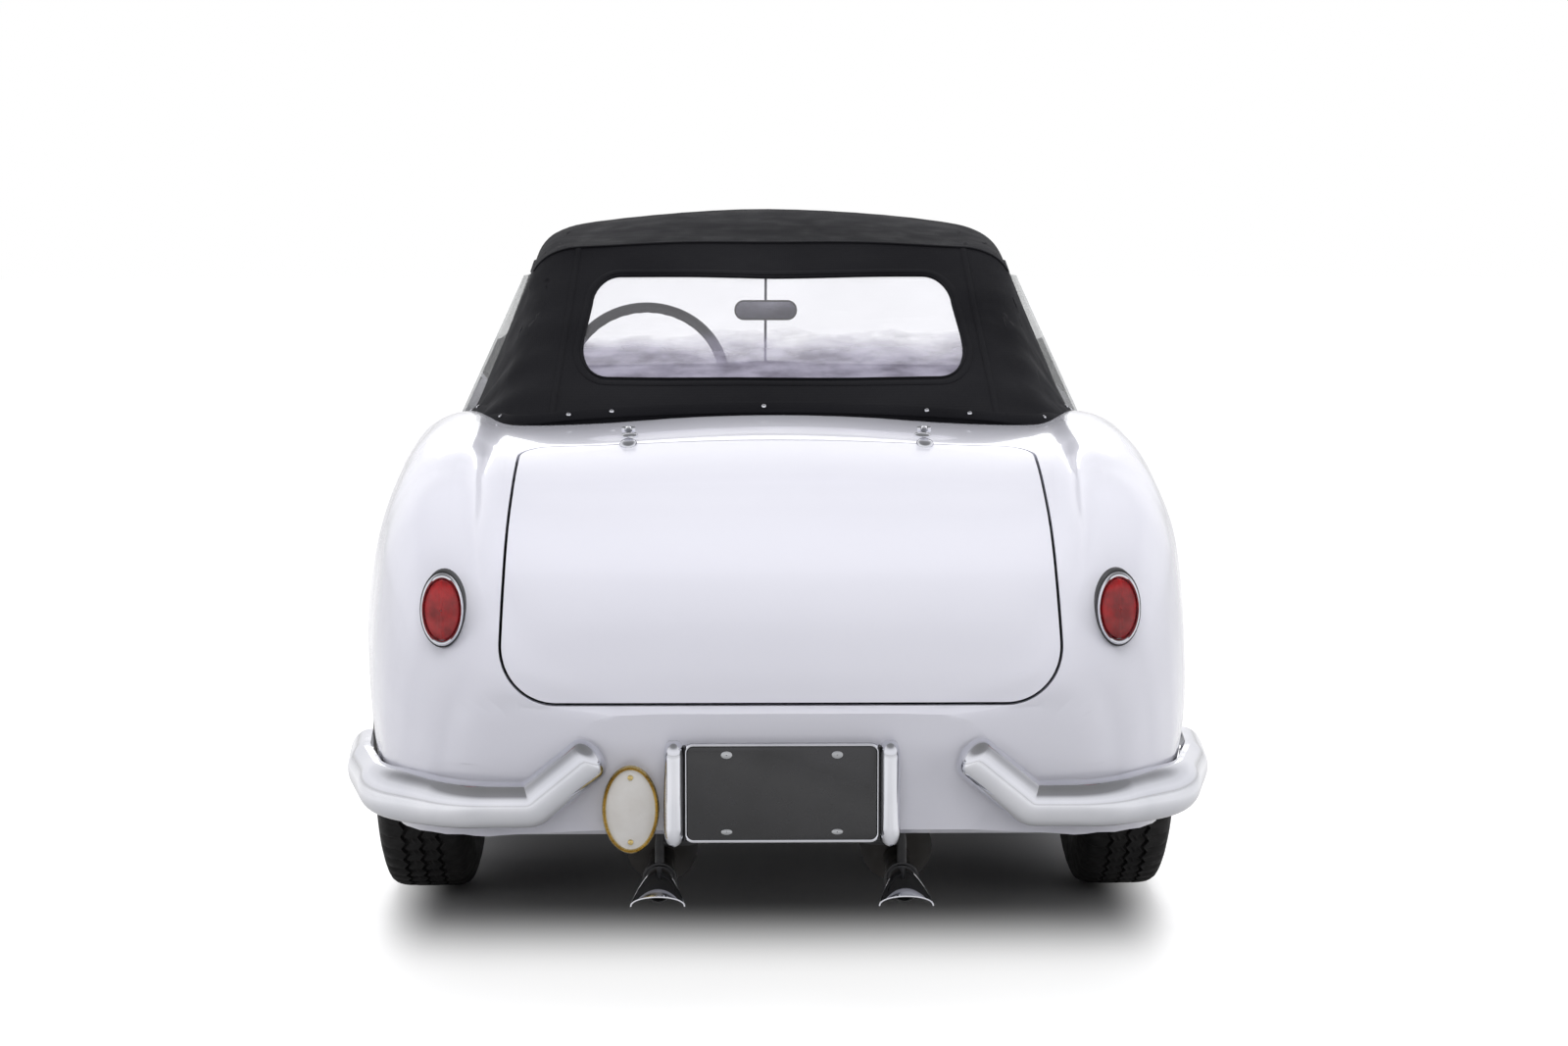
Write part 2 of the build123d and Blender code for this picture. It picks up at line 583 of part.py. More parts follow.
def front_suspension():
    """Crossmember on the rails, wishbones in ball sockets and the steering rack."""
    y = FRONT_AXLE_Y
    low0, low1 = LOWER_ARM_Z
    high0, high1 = UPPER_ARM_Z
    cross = box(-ARM_PIVOT_X, ARM_PIVOT_X, y - 110, y + 110, low0 - 6, low1 + 40)
    tower = box(RAIL_X, ARM_PIVOT_X, y - 100, y + 100, low1 + 40, RAIL_Z)
    perch = box(RAIL_X, ARM_PIVOT_X, y - 60, y + 60, RAIL_Z + RAIL_HEIGHT, high1 + 6)

    def wishbone(z0, z1, half_base):
        tip = KINGPIN_X
        plate = plan_prism([(ARM_PIVOT_X, y - half_base), (tip, y - 20), (tip, y + 20),
                            (ARM_PIVOT_X, y + half_base)], z0, z1)
        hole = plan_prism([(ARM_PIVOT_X + 24, y - half_base + 34), (tip - 60, y - 12),
                           (tip - 60, y + 12), (ARM_PIVOT_X + 24, y + half_base - 34)], z0 - 1, z1 + 1, 8)
        socket = Pos(tip, y, (z0 + z1) / 2) * Cylinder(25, z1 - z0)
        return plate + socket - hole

    arms = wishbone(low0, low1, ARM_HALF_BASE) + wishbone(high0, high1, 58)
    rack = bar_x(24, -300, 300, y - 145, 262) + mirrored(box(230, 270, y - 150, y - 110, 240, 262))
    return cross + mirrored(tower + perch + arms) + rack


def exhaust_system():
    """Twin pipes with silencers, hung from the boot floor."""
    front, joint = ELBOW_Y
    path = Plane((EXHAUST_X, 0, 0), x_dir=(0, 1, 0), z_dir=(1, 0, 0)) \
        * FilletPolyline([(front, DOWNPIPE_TOP_Z), (front, EXHAUST_Z), (joint, EXHAUST_Z)], radius=60)
    elbow = sweep(Plane((EXHAUST_X, front, DOWNPIPE_TOP_Z), z_dir=(0, 0, -1)) * Circle(EXHAUST_RADIUS), path)
    pipe = bar_y(EXHAUST_RADIUS, EXHAUST_X, EXHAUST_END_Y, joint, EXHAUST_Z)
    bore = bar_y(EXHAUST_RADIUS - EXHAUST_WALL, EXHAUST_X, EXHAUST_END_Y - 1,
                 EXHAUST_END_Y + PIPE_BORE_DEPTH, EXHAUST_Z)
    silencer = bar_y(SILENCER_RADIUS, EXHAUST_X, *SILENCER_Y, EXHAUST_Z + 20)
    strap_top = BOOT_FLOOR_Z - SHEET / 2
    straps = box(EXHAUST_X - 6, EXHAUST_X + 6, -1780, -1750, EXHAUST_Z + 60, strap_top) \
        + box(EXHAUST_X - 6, EXHAUST_X + 6, -1430, -1400, EXHAUST_Z + 60, strap_top)
    right = [*(pipe - bore + silencer + straps).solids(), *elbow.solids()]
    return Compound(children=right + [mirror(solid, Plane.YZ) for solid in right])


def exhaust_tips():
    """Bright deflectors: a half round that clasps the pipe end and fans out over its mouth."""
    def half_round(y, z, half_width, height):
        plane = Plane((EXHAUST_X, y, z), x_dir=(1, 0, 0), z_dir=(0, 1, 0))
        return plane * (Ellipse(half_width, height) & (Pos(0, -50) * Rectangle(200, 100)))

    def fan(thin):
        radius = EXHAUST_RADIUS + 0.1
        clasp = radius + DEFLECTOR_WALL - thin
        # y, z, half width, height
        rows = [(-1960, EXHAUST_Z, clasp, clasp), (-2000, EXHAUST_Z, clasp, clasp),
                (-2048, EXHAUST_Z, 33 - thin, 27 - thin), (-2102, EXHAUST_Z - 12, 43 - thin, 17 - thin)]
        return Solid.make_loft([half_round(*row).wire() for row in rows], True)

    return mirrored(fan(0) - fan(DEFLECTOR_WALL))


def radiator():
    core = box(-RADIATOR_X, RADIATOR_X, *RADIATOR_Y, *RADIATOR_Z)
    ears = mirrored(box(RADIATOR_X, RAIL_X, RADIATOR_Y[0] + 15, RADIATOR_Y[1] - 15, RADIATOR_Z[0] + 10, 370))
    return core + ears


# ------------------------------------------------------------------ front trim
def grille():
    """Bright shield with upright bars."""
    depth = (1972, 2046)
    frame = grille_prism(0, *depth) - grille_prism(16, depth[0] - 1, depth[1] + 1)
    count = int(2 * (GRILLE_TOP[0] - 20) // GRILLE_BAR_PITCH)
    bars = [box(x - 2.5, x + 2.5, depth[0] + 8, depth[0] + 30, 300, 640)
            for x in [(i - (count - 1) / 2) * GRILLE_BAR_PITCH for i in range(count)]]
    field = Compound(children=bars) & grille_prism(8, *depth)
    spine = box(-9, 9, depth[0] + 8, depth[1] - 6, GRILLE_LOW[1] + 4, GRILLE_TOP[1] - 4)
    return frame + field.solids() + spine


def headlamps():
    """Round bowls with their rims, set in the wing ends."""
    x, z = HEADLAMP_AT
    y0, y1 = HEADLAMP_Y
    bowl = bar_y(HEADLAMP_RADIUS, x, y0, y1 - 20, z)
    rim = bar_y(HEADLAMP_RADIUS, x, y1 - 20, y1, z)
    rim = fillet(rim.edges().filter_by(GeomType.CIRCLE).sort_by(Axis.Y)[-1], 14)
    return mirrored(bowl + rim)


def front_indicators():
    x, z = INDICATOR_AT
    lamp = bar_y(INDICATOR_RADIUS, x, 1960, 2052, z)
    lamp = fillet(lamp.edges().filter_by(GeomType.CIRCLE).sort_by(Axis.Y)[-1], 12)
    return mirrored(lamp - AROUND)


# ------------------------------------------------------------------- rear trim
def tail_lamps():
    """Oval lamps on the tail corners, cut to sit on the skin."""
    x, z = TAIL_LAMP_AT
    w, h = TAIL_LAMP
    face = Plane((x, -1994, z), x_dir=(1, 0, 0), z_dir=(0, 1, 0)) * Ellipse(w / 2, h / 2)
    lamp = extrude(face, 110)
    rear_rim = lamp.edges().sort_by(Axis.Y)[0]
    return mirrored(fillet(rear_rim, 8) - AROUND)


def bumper_half(z, path, bend, end):
    """Right half of a split bumper: an open half-round channel with domed ends.

    path holds (x, y) points of its open face from the wheel arch to the middle of
    the car. The inner arm then turns at bend and rises to end, both (x, z) points.
    """
    half = BUMPER_HEIGHT / 2
    quarter = (Ellipse(BUMPER_DEPTH, half) - Ellipse(BUMPER_DEPTH - BUMPER_WALL, half - BUMPER_WALL)) \
        & (Pos(BUMPER_DEPTH / 2, half / 2) * Rectangle(BUMPER_DEPTH, half))
    profile = quarter + mirror(quarter, Plane.XZ)
    dome = revolve(quarter, Axis.X, 360)

    def cap(point, outwards, along):
        plane = Plane(point, x_dir=outwards, z_dir=along)
        return split(plane * dome, bisect_by=Plane(point, z_dir=along), keep=Keep.TOP)

    rearwards = Vector(0, -1, 0)
    side = FilletPolyline(*[(x, y, z) for x, y in path], radius=BUMPER_RADII)
    side_out = (side % 0).cross(Vector(0, 0, 1)) * -1
    face_y = path[-1][1]
    arm = FilletPolyline((path[-1][0], face_y, z), (bend[0], face_y, bend[1]),
                         (end[0], face_y, end[1]), radius=BUMPER_ARM_RADIUS)
    channel = sweep(Plane(side @ 0, x_dir=side_out, z_dir=side % 0) * profile, side) \
        + sweep(Plane(arm @ 0, x_dir=rearwards, z_dir=arm % 0) * profile, arm)
    return channel + cap(side @ 0, side_out, (side % 0) * -1) + cap(arm @ 1, rearwards, arm % 1)


def rear_bumpers():
    """Rear pair with the irons that hold them to the tail."""
    z = REAR_BUMPER_Z
    iron = box(460, 500, REAR_FACE_Y - BUMPER_DEPTH + BUMPER_WALL - 1, TAIL_Y + 40, z - 6, z + 6)
    side_x, side_y = REAR_BUMPER_PATH[1]
    side_iron = box(640, side_x + BUMPER_DEPTH - BUMPER_WALL + 1, side_y - 2, side_y + 22, z - 6, z + 6)
    right = bumper_half(z, REAR_BUMPER_PATH, (398, z), (302, z + 86))
    return mirrored(right + (iron + side_iron - AROUND))


def front_bumpers():
    """Front pair, the same section with its arms turned up beside the grille."""
    z = FRONT_BUMPER_Z
    right = mirror(bumper_half(z, FRONT_BUMPER_PATH, (395, z), (300, z + 78)), Plane.XZ)
    iron = box(460, 500, FRONT_FACE_Y - 120, FRONT_FACE_Y + BUMPER_DEPTH - BUMPER_WALL + 1, z - 6, z + 6)
    return mirrored(right + (iron - AROUND))


def number_plate():
    width, height, thick = PLATE
    face = Plane((0, PLATE_REAR_Y, PLATE_Z), x_dir=(1, 0, 0), z_dir=(0, 1, 0)) \
        * RectangleRounded(width, height, 12)
    return extrude(face, thick)


def plate_holder():
    """Plate frame on two stays, with an upright guard at each side."""
    width, height, thick = PLATE
    back = PLATE_REAR_Y + thick
    face = Plane((0, back, PLATE_Z), x_dir=(1, 0, 0), z_dir=(0, 1, 0)) \
        * RectangleRounded(width + 6, height + 6, 14)
    carrier = extrude(face, 3)
    stay = box(90, 120, back + 3, TAIL_Y - 0.05, PLATE_Z - 20, PLATE_Z + 20)
    x0, x1 = GUARD_X
    z0, z1 = GUARD_Z
    bar = box(x0 + 6, x1, GUARD_REAR_Y, TAIL_Y - 0.05, z0, z1)
    rear_edges = bar.edges().filter_by(Axis.Z).group_by(Axis.Y)[0]
    bar = fillet(rear_edges, 14)
    return carrier + mirrored(stay + bar)


def oval_plaque():
    """Small blank oval sign on a stay."""
    w, h, thick = PLAQUE
    x, y, z = PLAQUE_AT
    face = Plane((x, y, z), x_dir=(1, 0, 0), z_dir=(0, 1, 0)) * Ellipse(w / 2, h / 2)
    return extrude(face, thick) + box(x - 10, x + 10, y + thick, TAIL_Y - 0.05, z - 12, z + 12)


def boot_hinge_bases():
    x, y, z = BOOT_HINGE
    foot = box(x - 14, x + 14, y + 8, y + 44, z - 40, z - 4) - AROUND
    ears = box(x - 14, x - 8, y - 6, y + 10, z - 16, z + 7) \
        + box(x + 8, x + 14, y - 6, y + 10, z - 16, z + 7)
    pin = bar_x(3.5, x - 14, x + 14, y, z)
    return mirrored((foot + ears + pin) - AROUND)


def boot_hinges():
    """Bright straps on the lid that turn on the deck's hinge pins."""
    x, y, z = BOOT_HINGE
    strap = box(x - 7, x + 7, y - 70, y, z - 60, z + 7)
    eye = bar_x(7, x - 7, x + 7, y, z)
    foot = (strap - AROUND) & box(x - 7, x + 7, y - 70, y - 6, z - 60, z + 7)
    return mirrored(foot + eye - bar_x(3.55, x - 8, x + 8, y, z))


# ------------------------------------------------------------ screen and hood
def screen_arc_wire(z_row, shift0, shift1):
    """Closed plan outline between two curves of the windscreen at one height."""
    z, half, side_y, mid_y = z_row
    front = Edge.make_three_point_arc(Vector(-half, side_y + shift1, z), Vector(0, mid_y + shift1, z),
                                      Vector(half, side_y + shift1, z))
    rear = Edge.make_three_point_arc(Vector(half, side_y + shift0, z), Vector(0, mid_y + shift0, z),
                                     Vector(-half, side_y + shift0, z))
    left = Edge.make_line(Vector(-half, side_y + shift0, z), Vector(-half, side_y + shift1, z))
    right = Edge.make_line(Vector(half, side_y + shift1, z), Vector(half, side_y + shift0, z))
    return Wire([front, right, rear, left])


def screen_sheet(shift0, shift1):
    """Raked and curved sheet between two shifts along Y."""
    return Solid.make_loft([screen_arc_wire(SCREEN_BASE, shift0, shift1),
                            screen_arc_wire(SCREEN_TOP, shift0, shift1)], True)


def screen_width(z):
    """Half width of the windscreen inside the hood's side line at a height."""
    y, top_z, rx, rz, sx, sz, hx, hz = SOFT_TOP[0]
    return sx + (sz - z) * (hx - sx) / (sz - hz) - FABRIC


def screen_opening(y0, y1):
    low, high = SCREEN_LOW_Z, SCREEN_HIGH_Z
    low_x, high_x = screen_width(low) - SCREEN_BORDER, screen_width(high) - SCREEN_BORDER - 14
    return rear_prism([(-low_x, low), (low_x, low), (high_x, high), (-high_x, high)], y0, y1, 40)


def screen_outline(inset):
    """Frontal outline of the hood's inside, as a prism over the windscreen."""
    wire = soft_section((200,) + SOFT_TOP[0][1:], inset)
    return extrude(Face(wire), 460, dir=(0, 1, 0))


def windscreen_frame():
    frame = screen_sheet(-SCREEN_FRAME, 0) & screen_outline(FABRIC + FIT)
    return frame - screen_opening(0, 800) - AROUND


def windscreen_glass():
    middle = -(SCREEN_FRAME + SCREEN_GLASS) / 2
    return screen_sheet(middle, middle + SCREEN_GLASS) & screen_opening(0, 800)


def rear_window_prism(inset=0.0):
    x, (z0, z1) = REAR_WINDOW_X - inset, REAR_WINDOW_Z
    return rear_prism([(-x, z0 + inset), (x, z0 + inset), (x - 16, z1 - inset), (-x + 16, z1 - inset)],
                      -1300, BOW_Y - 10, REAR_WINDOW_CORNER - inset)


def door_window_prism():
    rear, top = DOOR_REAR_Y + 14, WINDOW_TOP_Z
    opening = side_prism([(rear, 700), (rear, top), (500, top), (500, 700)], -900, 900)
    return opening


def soft_top():
    """Fabric hood from the header rail to its hem on the deck."""
    ahead = screen_sheet(3, 300)
    cloth = HOOD_OUTER - HOOD_INNER - AROUND - ahead
    return cloth - rear_window_prism() - door_window_prism()


def rear_window():
    """Clear sheet set in the middle of the fabric."""
    middle = (FABRIC - FILM) / 2
    return (soft_loft(middle) - soft_loft(middle + FILM)) & rear_window_prism(FIT)


def hood_frame():
    """Hoops and side rails that carry the fabric."""
    width, depth = HOOP
    ring = soft_loft(FABRIC + FIT) - soft_loft(FABRIC + FIT + depth)
    bow = box(-900, 900, BOW_Y, BOW_Y + width, 900, 1400)
    hoops = box(-900, 900, -300, -300 + width, WINDOW_TOP_Z + 4, 1400) \
        + box(-900, 900, 20, 20 + width, WINDOW_TOP_Z + 4, 1400)
    rails = mirrored(box(440, 900, BOW_Y, 215, WINDOW_TOP_Z + 4, WINDOW_TOP_Z + 26))
    return (ring & (bow + hoops + rails)) - AROUND


# ---------------------------------------------------------------------- cabin
def dashboard():
    profile = [(430, 905), (462, 927), (DOOR_FRONT_Y - FIT, 922), (DOOR_FRONT_Y - FIT, 735), (470, 700),
               (446, 716)]
    panel = side_prism(profile, -DASH_X, DASH_X, 12)
    return panel - column_bar(COLUMN_RADIUS + 3, 0, 600) - screen_sheet(-SCREEN_FRAME - FIT, 200)


def column_bar(radius, start, end):
    """Round bar on the steering axis, from and to distances ahead of the hub."""
    x, y, z = STEERING_HUB
    ahead = Vector(0, cos(radians(COLUMN_TILT)), -sin(radians(COLUMN_TILT)))
    base = Vector(x, y, z) + ahead * start
    return Solid.make_cylinder(radius, end - start, Plane(base, z_dir=ahead))


def steering_column():
    front_y = FIREWALL_Y - SHEET / 2 - 0.05
    return column_bar(COLUMN_RADIUS, STEERING_BOSS + FIT, 700) & box(-900, 900, 0, front_y, 0, 1200)


def steering_wheel():
    """Rim, three spokes and boss, square to the column."""
    x, y, z = STEERING_HUB
    ahead = Vector(0, cos(radians(COLUMN_TILT)), -sin(radians(COLUMN_TILT)))
    plane = Plane((x, y, z), x_dir=(1, 0, 0), z_dir=ahead * -1)
    rim = Torus(STEERING_RADIUS - STEERING_GRIP, STEERING_GRIP)
    boss = Pos(0, 0, 4 - STEERING_BOSS / 2) * Cylinder(34, STEERING_BOSS + 8)
    spokes = [Rot(0, 0, turn) * (Pos((STEERING_RADIUS - STEERING_GRIP) / 2 + 8, 0, 0)
                                 * Box(STEERING_RADIUS - STEERING_GRIP - 16, 34, 4))
              for turn in (0, 180, 270)]
    return plane * (rim + boss + spokes)


def seats():
    """Cushion and backrest in one solid for each seat."""
    return mirrored(side_prism(SEAT_PROFILE, *SEAT_X, 30))


def inner_mirror():
    foot, head = Vector(0, 501, 927), Vector(0, 316, 1221)
    rod = Solid.make_cylinder(4, (head - foot).length, Plane(foot, z_dir=head - foot))
    x, y, z = MIRROR_AT
    glass = Pos(x, y, z) * Box(*MIRROR)
    glass = fillet(glass.edges().filter_by(Axis.Y), 14)
    return rod + glass + box(x - 6, x + 6, y, y + 26, z - 8, z + 8)


def gear_lever():
    y = GEAR_LEVER_Y
    slope = (TUNNEL_FRONT_Z - TUNNEL_REAR_Z) / (FIREWALL_Y - HEELBOARD_Y)
    foot_z = TUNNEL_FRONT_Z - (FIREWALL_Y - y) * slope
    gaiter = Solid.make_cone(45, 16, 60, Plane((0, y, foot_z + 4)))
    stick = Pos(0, y, foot_z + 95) * Cylinder(6, 130)
    return gaiter + stick + Pos(0, y, foot_z + 165) * Sphere(22)


# -------------------------------------------------------------- wheels, tyres
def knuckle():
    """Right steering knuckle with its stub axle and backplate."""
    y, z = FRONT_AXLE_Y, TYRE_RADIUS
    low, high = LOWER_ARM_Z[1] + FIT, UPPER_ARM_Z[0] - FIT
    post = plan_prism([(KINGPIN_X - 16, y - 24), (KINGPIN_X + 14, y - 24), (KINGPIN_X + 14, y + 24),
                       (KINGPIN_X - 16, y + 24)], low, high, 8)
    plate = bar_x(108, KINGPIN_X + 12, KINGPIN_X + 16, y, z)
    stub = bar_x(HUB_BORE, KINGPIN_X, WHEEL_X - 6, y, z)
    arm = box(KINGPIN_X - 16, KINGPIN_X + 4, y - 120, y, z - 62, z - 46)
    return post + plate + stub + arm


def wheel():
    """Pressed disc wheel with its drum and cap, about the origin, axle along X."""
    w, r, t = TREAD_WIDTH / 2 + 2.7, RIM_RADIUS, RIM_WALL
    barrel = [(-w - t, r - t), (-w - t, r + 8), (-w, r + 8), (-w, r), (w, r), (w, r + 8),
              (w + t, r + 8), (w + t, r - t)]
    disc = [(4, r - t), (4, r - 2 * t), (34, 150), (38, 112), (18, 84), (10, 60), (10, 0), (42, 0),
            (40, 30), (28, 52), (16, 62), (24, 84), (44, 112), (40, 152), (12, r - t)]
    drum = [(-50, 30), (-50, 132), (-46, 136), (-8, 136), (0, 128), (0, 62), (12, 62), (12, 30)]

    def spun(points):
        return revolve(make_face(Polyline(points, close=True)), Axis.X, 360)

    hub = bar_x(60, -50, 12, 0, 0) - bar_x(HUB_BORE + 0.05, -51, 0, 0, 0)
    body = spun(barrel) + spun(disc) + spun(drum) + hub
    slots = [Rot(360 * i / 8, 0, 0) * (Pos(30, 0, 148) * Rot(0, 90, 0) * Cylinder(11, 60))
             for i in range(8)]
    windows = Compound(children=slots) & box(2, 60, -400, 400, -400, 400)
    return body - windows.solids()


def tyre():
    """Plain tyre about the origin, axle along X."""
    bead, seat, tread = TREAD_WIDTH / 2, RIM_RADIUS + FIT, TREAD_WIDTH / 2 - 2
    profile = [(-bead, seat), (bead, seat), (TYRE_WIDTH / 2, 262), (tread, TYRE_RADIUS),
               (-tread, TYRE_RADIUS), (-TYRE_WIDTH / 2, 262)]
    return revolve(make_face(Polyline(profile, close=True)), Axis.X, 360)


# --------------------------------------------------------------------- export
def sides(name, right):
    return {name + "_right": right, name + "_left": mirror(right, Plane.YZ)}


def build_nodes():
    nodes = {
        "front_body": front_body(), "rear_body": rear_body(), "floor_pan": floor_pan(),
        "wheelhouses": wheelhouses(), "engine_block": engine_block(),
        "gearbox_and_shaft": gearbox_and_shaft(), "rear_axle": rear_axle(),
        "front_suspension": front_suspension(), "exhaust_system": exhaust_system(),
        "exhaust_tips": exhaust_tips(), "radiator": radiator(), "grille": grille(),
        "headlamps": headlamps(), "front_indicators": front_indicators(),
        "tail_lamps": tail_lamps(), "front_bumpers": front_bumpers(),
        "rear_bumpers": rear_bumpers(), "plate_holder": plate_holder(),
        "number_plate": number_plate(), "oval_plaque": oval_plaque(),
        "windscreen_frame": windscreen_frame(), "windscreen_glass": windscreen_glass(),
        "soft_top": soft_top(), "soft_top_window": rear_window(), "soft_top_frame": hood_frame(),
        "dashboard": dashboard(), "seats": seats(), "steering_column": steering_column(),
        "inner_mirror": inner_mirror(), "gear_lever": gear_lever(),
        "boot_hinge_bases": boot_hinge_bases(), "boot_hinges": boot_hinges(),
        "bonnet": bonnet(), "boot_lid": boot_lid(), "steering_wheel": steering_wheel(),
    }
    nodes |= sides("door", door())
    nodes |= sides("door_glass", door_glass())
    nodes |= sides("door_handle", door_handle())
    nodes |= sides("knuckle", knuckle())
    for end, axle_y in (("front", FRONT_AXLE_Y), ("rear", REAR_AXLE_Y)):
        place = Pos(WHEEL_X, axle_y, TYRE_RADIUS)
        nodes |= sides("wheel_" + end, place * wheel())
        nodes |= sides("tyre_" + end, place * tyre())
    return nodes


if __name__ == "__main__":
    os.makedirs("parts", exist_ok=True)
    for name, shape in build_nodes().items():
        export_step(Compound(children=shape.solids()), "parts/" + name + ".step")
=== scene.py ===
import json
from math import atan2, cos, pi, radians, sin, sqrt

import bmesh
import bpy
import numpy as np
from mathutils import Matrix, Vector
from mathutils.bvhtree import BVHTree


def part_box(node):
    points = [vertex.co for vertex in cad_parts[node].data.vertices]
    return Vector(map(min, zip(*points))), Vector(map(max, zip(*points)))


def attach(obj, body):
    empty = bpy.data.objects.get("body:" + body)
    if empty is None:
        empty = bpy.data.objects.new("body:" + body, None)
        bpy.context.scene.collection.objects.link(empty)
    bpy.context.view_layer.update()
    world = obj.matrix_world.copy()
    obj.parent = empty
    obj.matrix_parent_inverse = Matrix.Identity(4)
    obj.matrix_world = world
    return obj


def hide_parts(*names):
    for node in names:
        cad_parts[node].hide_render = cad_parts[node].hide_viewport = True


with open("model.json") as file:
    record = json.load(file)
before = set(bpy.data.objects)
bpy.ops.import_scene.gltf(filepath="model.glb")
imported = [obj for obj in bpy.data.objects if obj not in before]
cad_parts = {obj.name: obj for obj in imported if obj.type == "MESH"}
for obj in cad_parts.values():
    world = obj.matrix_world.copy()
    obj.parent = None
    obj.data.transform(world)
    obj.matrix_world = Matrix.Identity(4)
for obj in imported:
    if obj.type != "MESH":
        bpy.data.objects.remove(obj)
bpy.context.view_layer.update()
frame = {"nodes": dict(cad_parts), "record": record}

# %% [markdown]
# # A white roadster with its soft top up
# The imported frame holds every rigid part in place, in metres, with +Y towards the
# nose. This lesson dresses it: a body whose rows of arcs become one fair surface,
# chrome that is swept and not boxed, fabric that hangs between its bows, and a
# finish on every part.

# %% [markdown]
# ## Camera
# A long lens stands behind the car, a little left of its middle and above its lid,
# and looks slightly down. Moving the camera back with a longer lens would flatten
# the car, and a short lens near it would swell the tail.

# %% Camera
camera = bpy.data.objects.new("camera", bpy.data.cameras.new("camera"))
bpy.context.scene.collection.objects.link(camera)
camera.data.sensor_width = 36
camera.data.lens = 68.6
camera.location = (-0.0736, -6.7721, 1.2695)
camera.rotation_euler = (radians(90 - 5.75), 0, radians(-0.94))
bpy.context.scene.camera = camera
print("camera", tuple(camera.location))

# %% [markdown]
# ## Small helpers
# Sizes are written in millimetres, as on a drawing, and one helper turns them into
# a mesh in metres. Most trim on a car is a section carried along a line, or a
# profile spun about an axle, so those two helpers make nearly everything bright.

# %% Mesh helpers
def mesh_piece(name, points, faces, material, body="body", smooth=True, crease=40):
    """New piece from points in millimetres; edges sharper than crease stay sharp."""
    mesh = bpy.data.meshes.new(name)
    mesh.from_pydata([tuple(float(c) / 1000 for c in p) for p in points], [], faces)
    mesh.validate()
    piece = bpy.data.objects.new(name, mesh)
    bpy.context.scene.collection.objects.link(piece)
    mesh.materials.append(material)
    tidy_normals(mesh, crease if smooth else 0)
    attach(piece, body)
    return piece


def tidy_normals(mesh, crease):
    """Outward faces, smooth except over edges sharper than crease degrees."""
    bm = bmesh.new()
    bm.from_mesh(mesh)
    bmesh.ops.recalc_face_normals(bm, faces=bm.faces)
    for face in bm.faces:
        face.smooth = crease > 0
    for edge in bm.edges:
        edge.smooth = len(edge.link_faces) != 2 or edge.calc_face_angle(0) < radians(crease)
    bm.to_mesh(mesh)
    bm.free()


def grid_faces(rows, columns, close_rows=False, close_columns=False):
    """Quads of a grid of points listed row by row."""
    faces = []
    for i in range(rows if close_rows else rows - 1):
        for j in range(columns if close_columns else columns - 1):
            a, b = i * columns + j, i * columns + (j + 1) % columns
            c = ((i + 1) % rows) * columns + (j + 1) % columns
            faces.append((a, b, c, ((i + 1) % rows) * columns + j))
    return faces


def spin(name, profile, centre, material, body="body", steps=64, axis="X", crease=40):
    """Profile of (along, radius) points spun about an axis through centre."""
    points = []
    for i in range(steps):
        turn = 2 * pi * i / steps
        for along, radius in profile:
            ring = (radius * cos(turn), radius * sin(turn))
            local = {"X": (along, *ring), "Y": (ring[0], along, ring[1]), "Z": (*ring, along)}[axis]
            points.append([local[k] + centre[k] for k in range(3)])
    return mesh_piece(name, points, grid_faces(steps, len(profile), close_rows=True), material, body,
                      crease=crease)


def sweep(name, path, outs, section, material, body="body", closed=False, sizes=None, crease=40):
    """Closed section of (out, up) points carried along a path of points."""
    path, outs = np.array(path, float), np.array(outs, float)
    steps, points = len(path), []
    for i in range(steps):
        after = path[(i + 1) % steps] if closed or i + 1 < steps else path[i]
        before = path[i - 1] if closed or i > 0 else path[i]
        along = after - before
        along /= np.linalg.norm(along)
        out = outs[i] - along * (outs[i] @ along)
        out /= np.linalg.norm(out)
        up = np.cross(out, along)
        size = (1, 1) if sizes is None else sizes[i]
        points += [path[i] + out * a * size[0] + up * b * size[1] for a, b in section]
    count = len(section)
    faces = grid_faces(steps, count, closed, True)
    if not closed:
        faces += [tuple(range(count))[::-1], tuple(range((steps - 1) * count, steps * count))]
    return mesh_piece(name, points, faces, material, body, crease=crease)


def ring_section(radius, count=12):
    return [(radius * cos(2 * pi * i / count), radius * sin(2 * pi * i / count)) for i in range(count)]


def rounded_path(corners, radii, step=8.0):
    """Points along straight runs joined by arcs; radii has one value per inner corner."""
    corners = [np.array(c, float) for c in corners]
    points = [corners[0]]
    for before, corner, after, radius in zip(corners, corners[1:], corners[2:], radii):
        a, b = before - corner, after - corner
        a, b = a / np.linalg.norm(a), b / np.linalg.norm(b)
        turn = pi - np.arccos(np.clip(a @ b, -1, 1))
        reach = radius * np.tan(turn / 2)
        start, end = corner + a * reach, corner + b * reach
        count = max(3, int(radius * turn / step))
        middle = corner + (a + b) / np.linalg.norm(a + b) * radius / cos(turn / 2)
        u = start - middle
        w = (end - middle) - u * cos(turn)
        w = w / np.linalg.norm(w) * radius
        points += [middle + u * cos(turn * k / count) + w * sin(turn * k / count) for k in range(count + 1)]
    points.append(corners[-1])
    path = [points[0]]
    for point in points[1:]:
        gap = np.linalg.norm(point - path[-1])
        parts = max(1, int(gap / (4 * step)))
        path += [path[-1] + (point - path[-1]) * (k + 1) / parts for k in range(parts)] if gap > 0.01 else []
    return path


def ellipse(centre, width, height, count=64):
    """Points of an upright oval that faces the rear."""
    x, y, z = centre
    return [(x + width / 2 * cos(2 * pi * i / count), y, z + height / 2 * sin(2 * pi * i / count))
            for i in range(count)]


print("helpers ready")

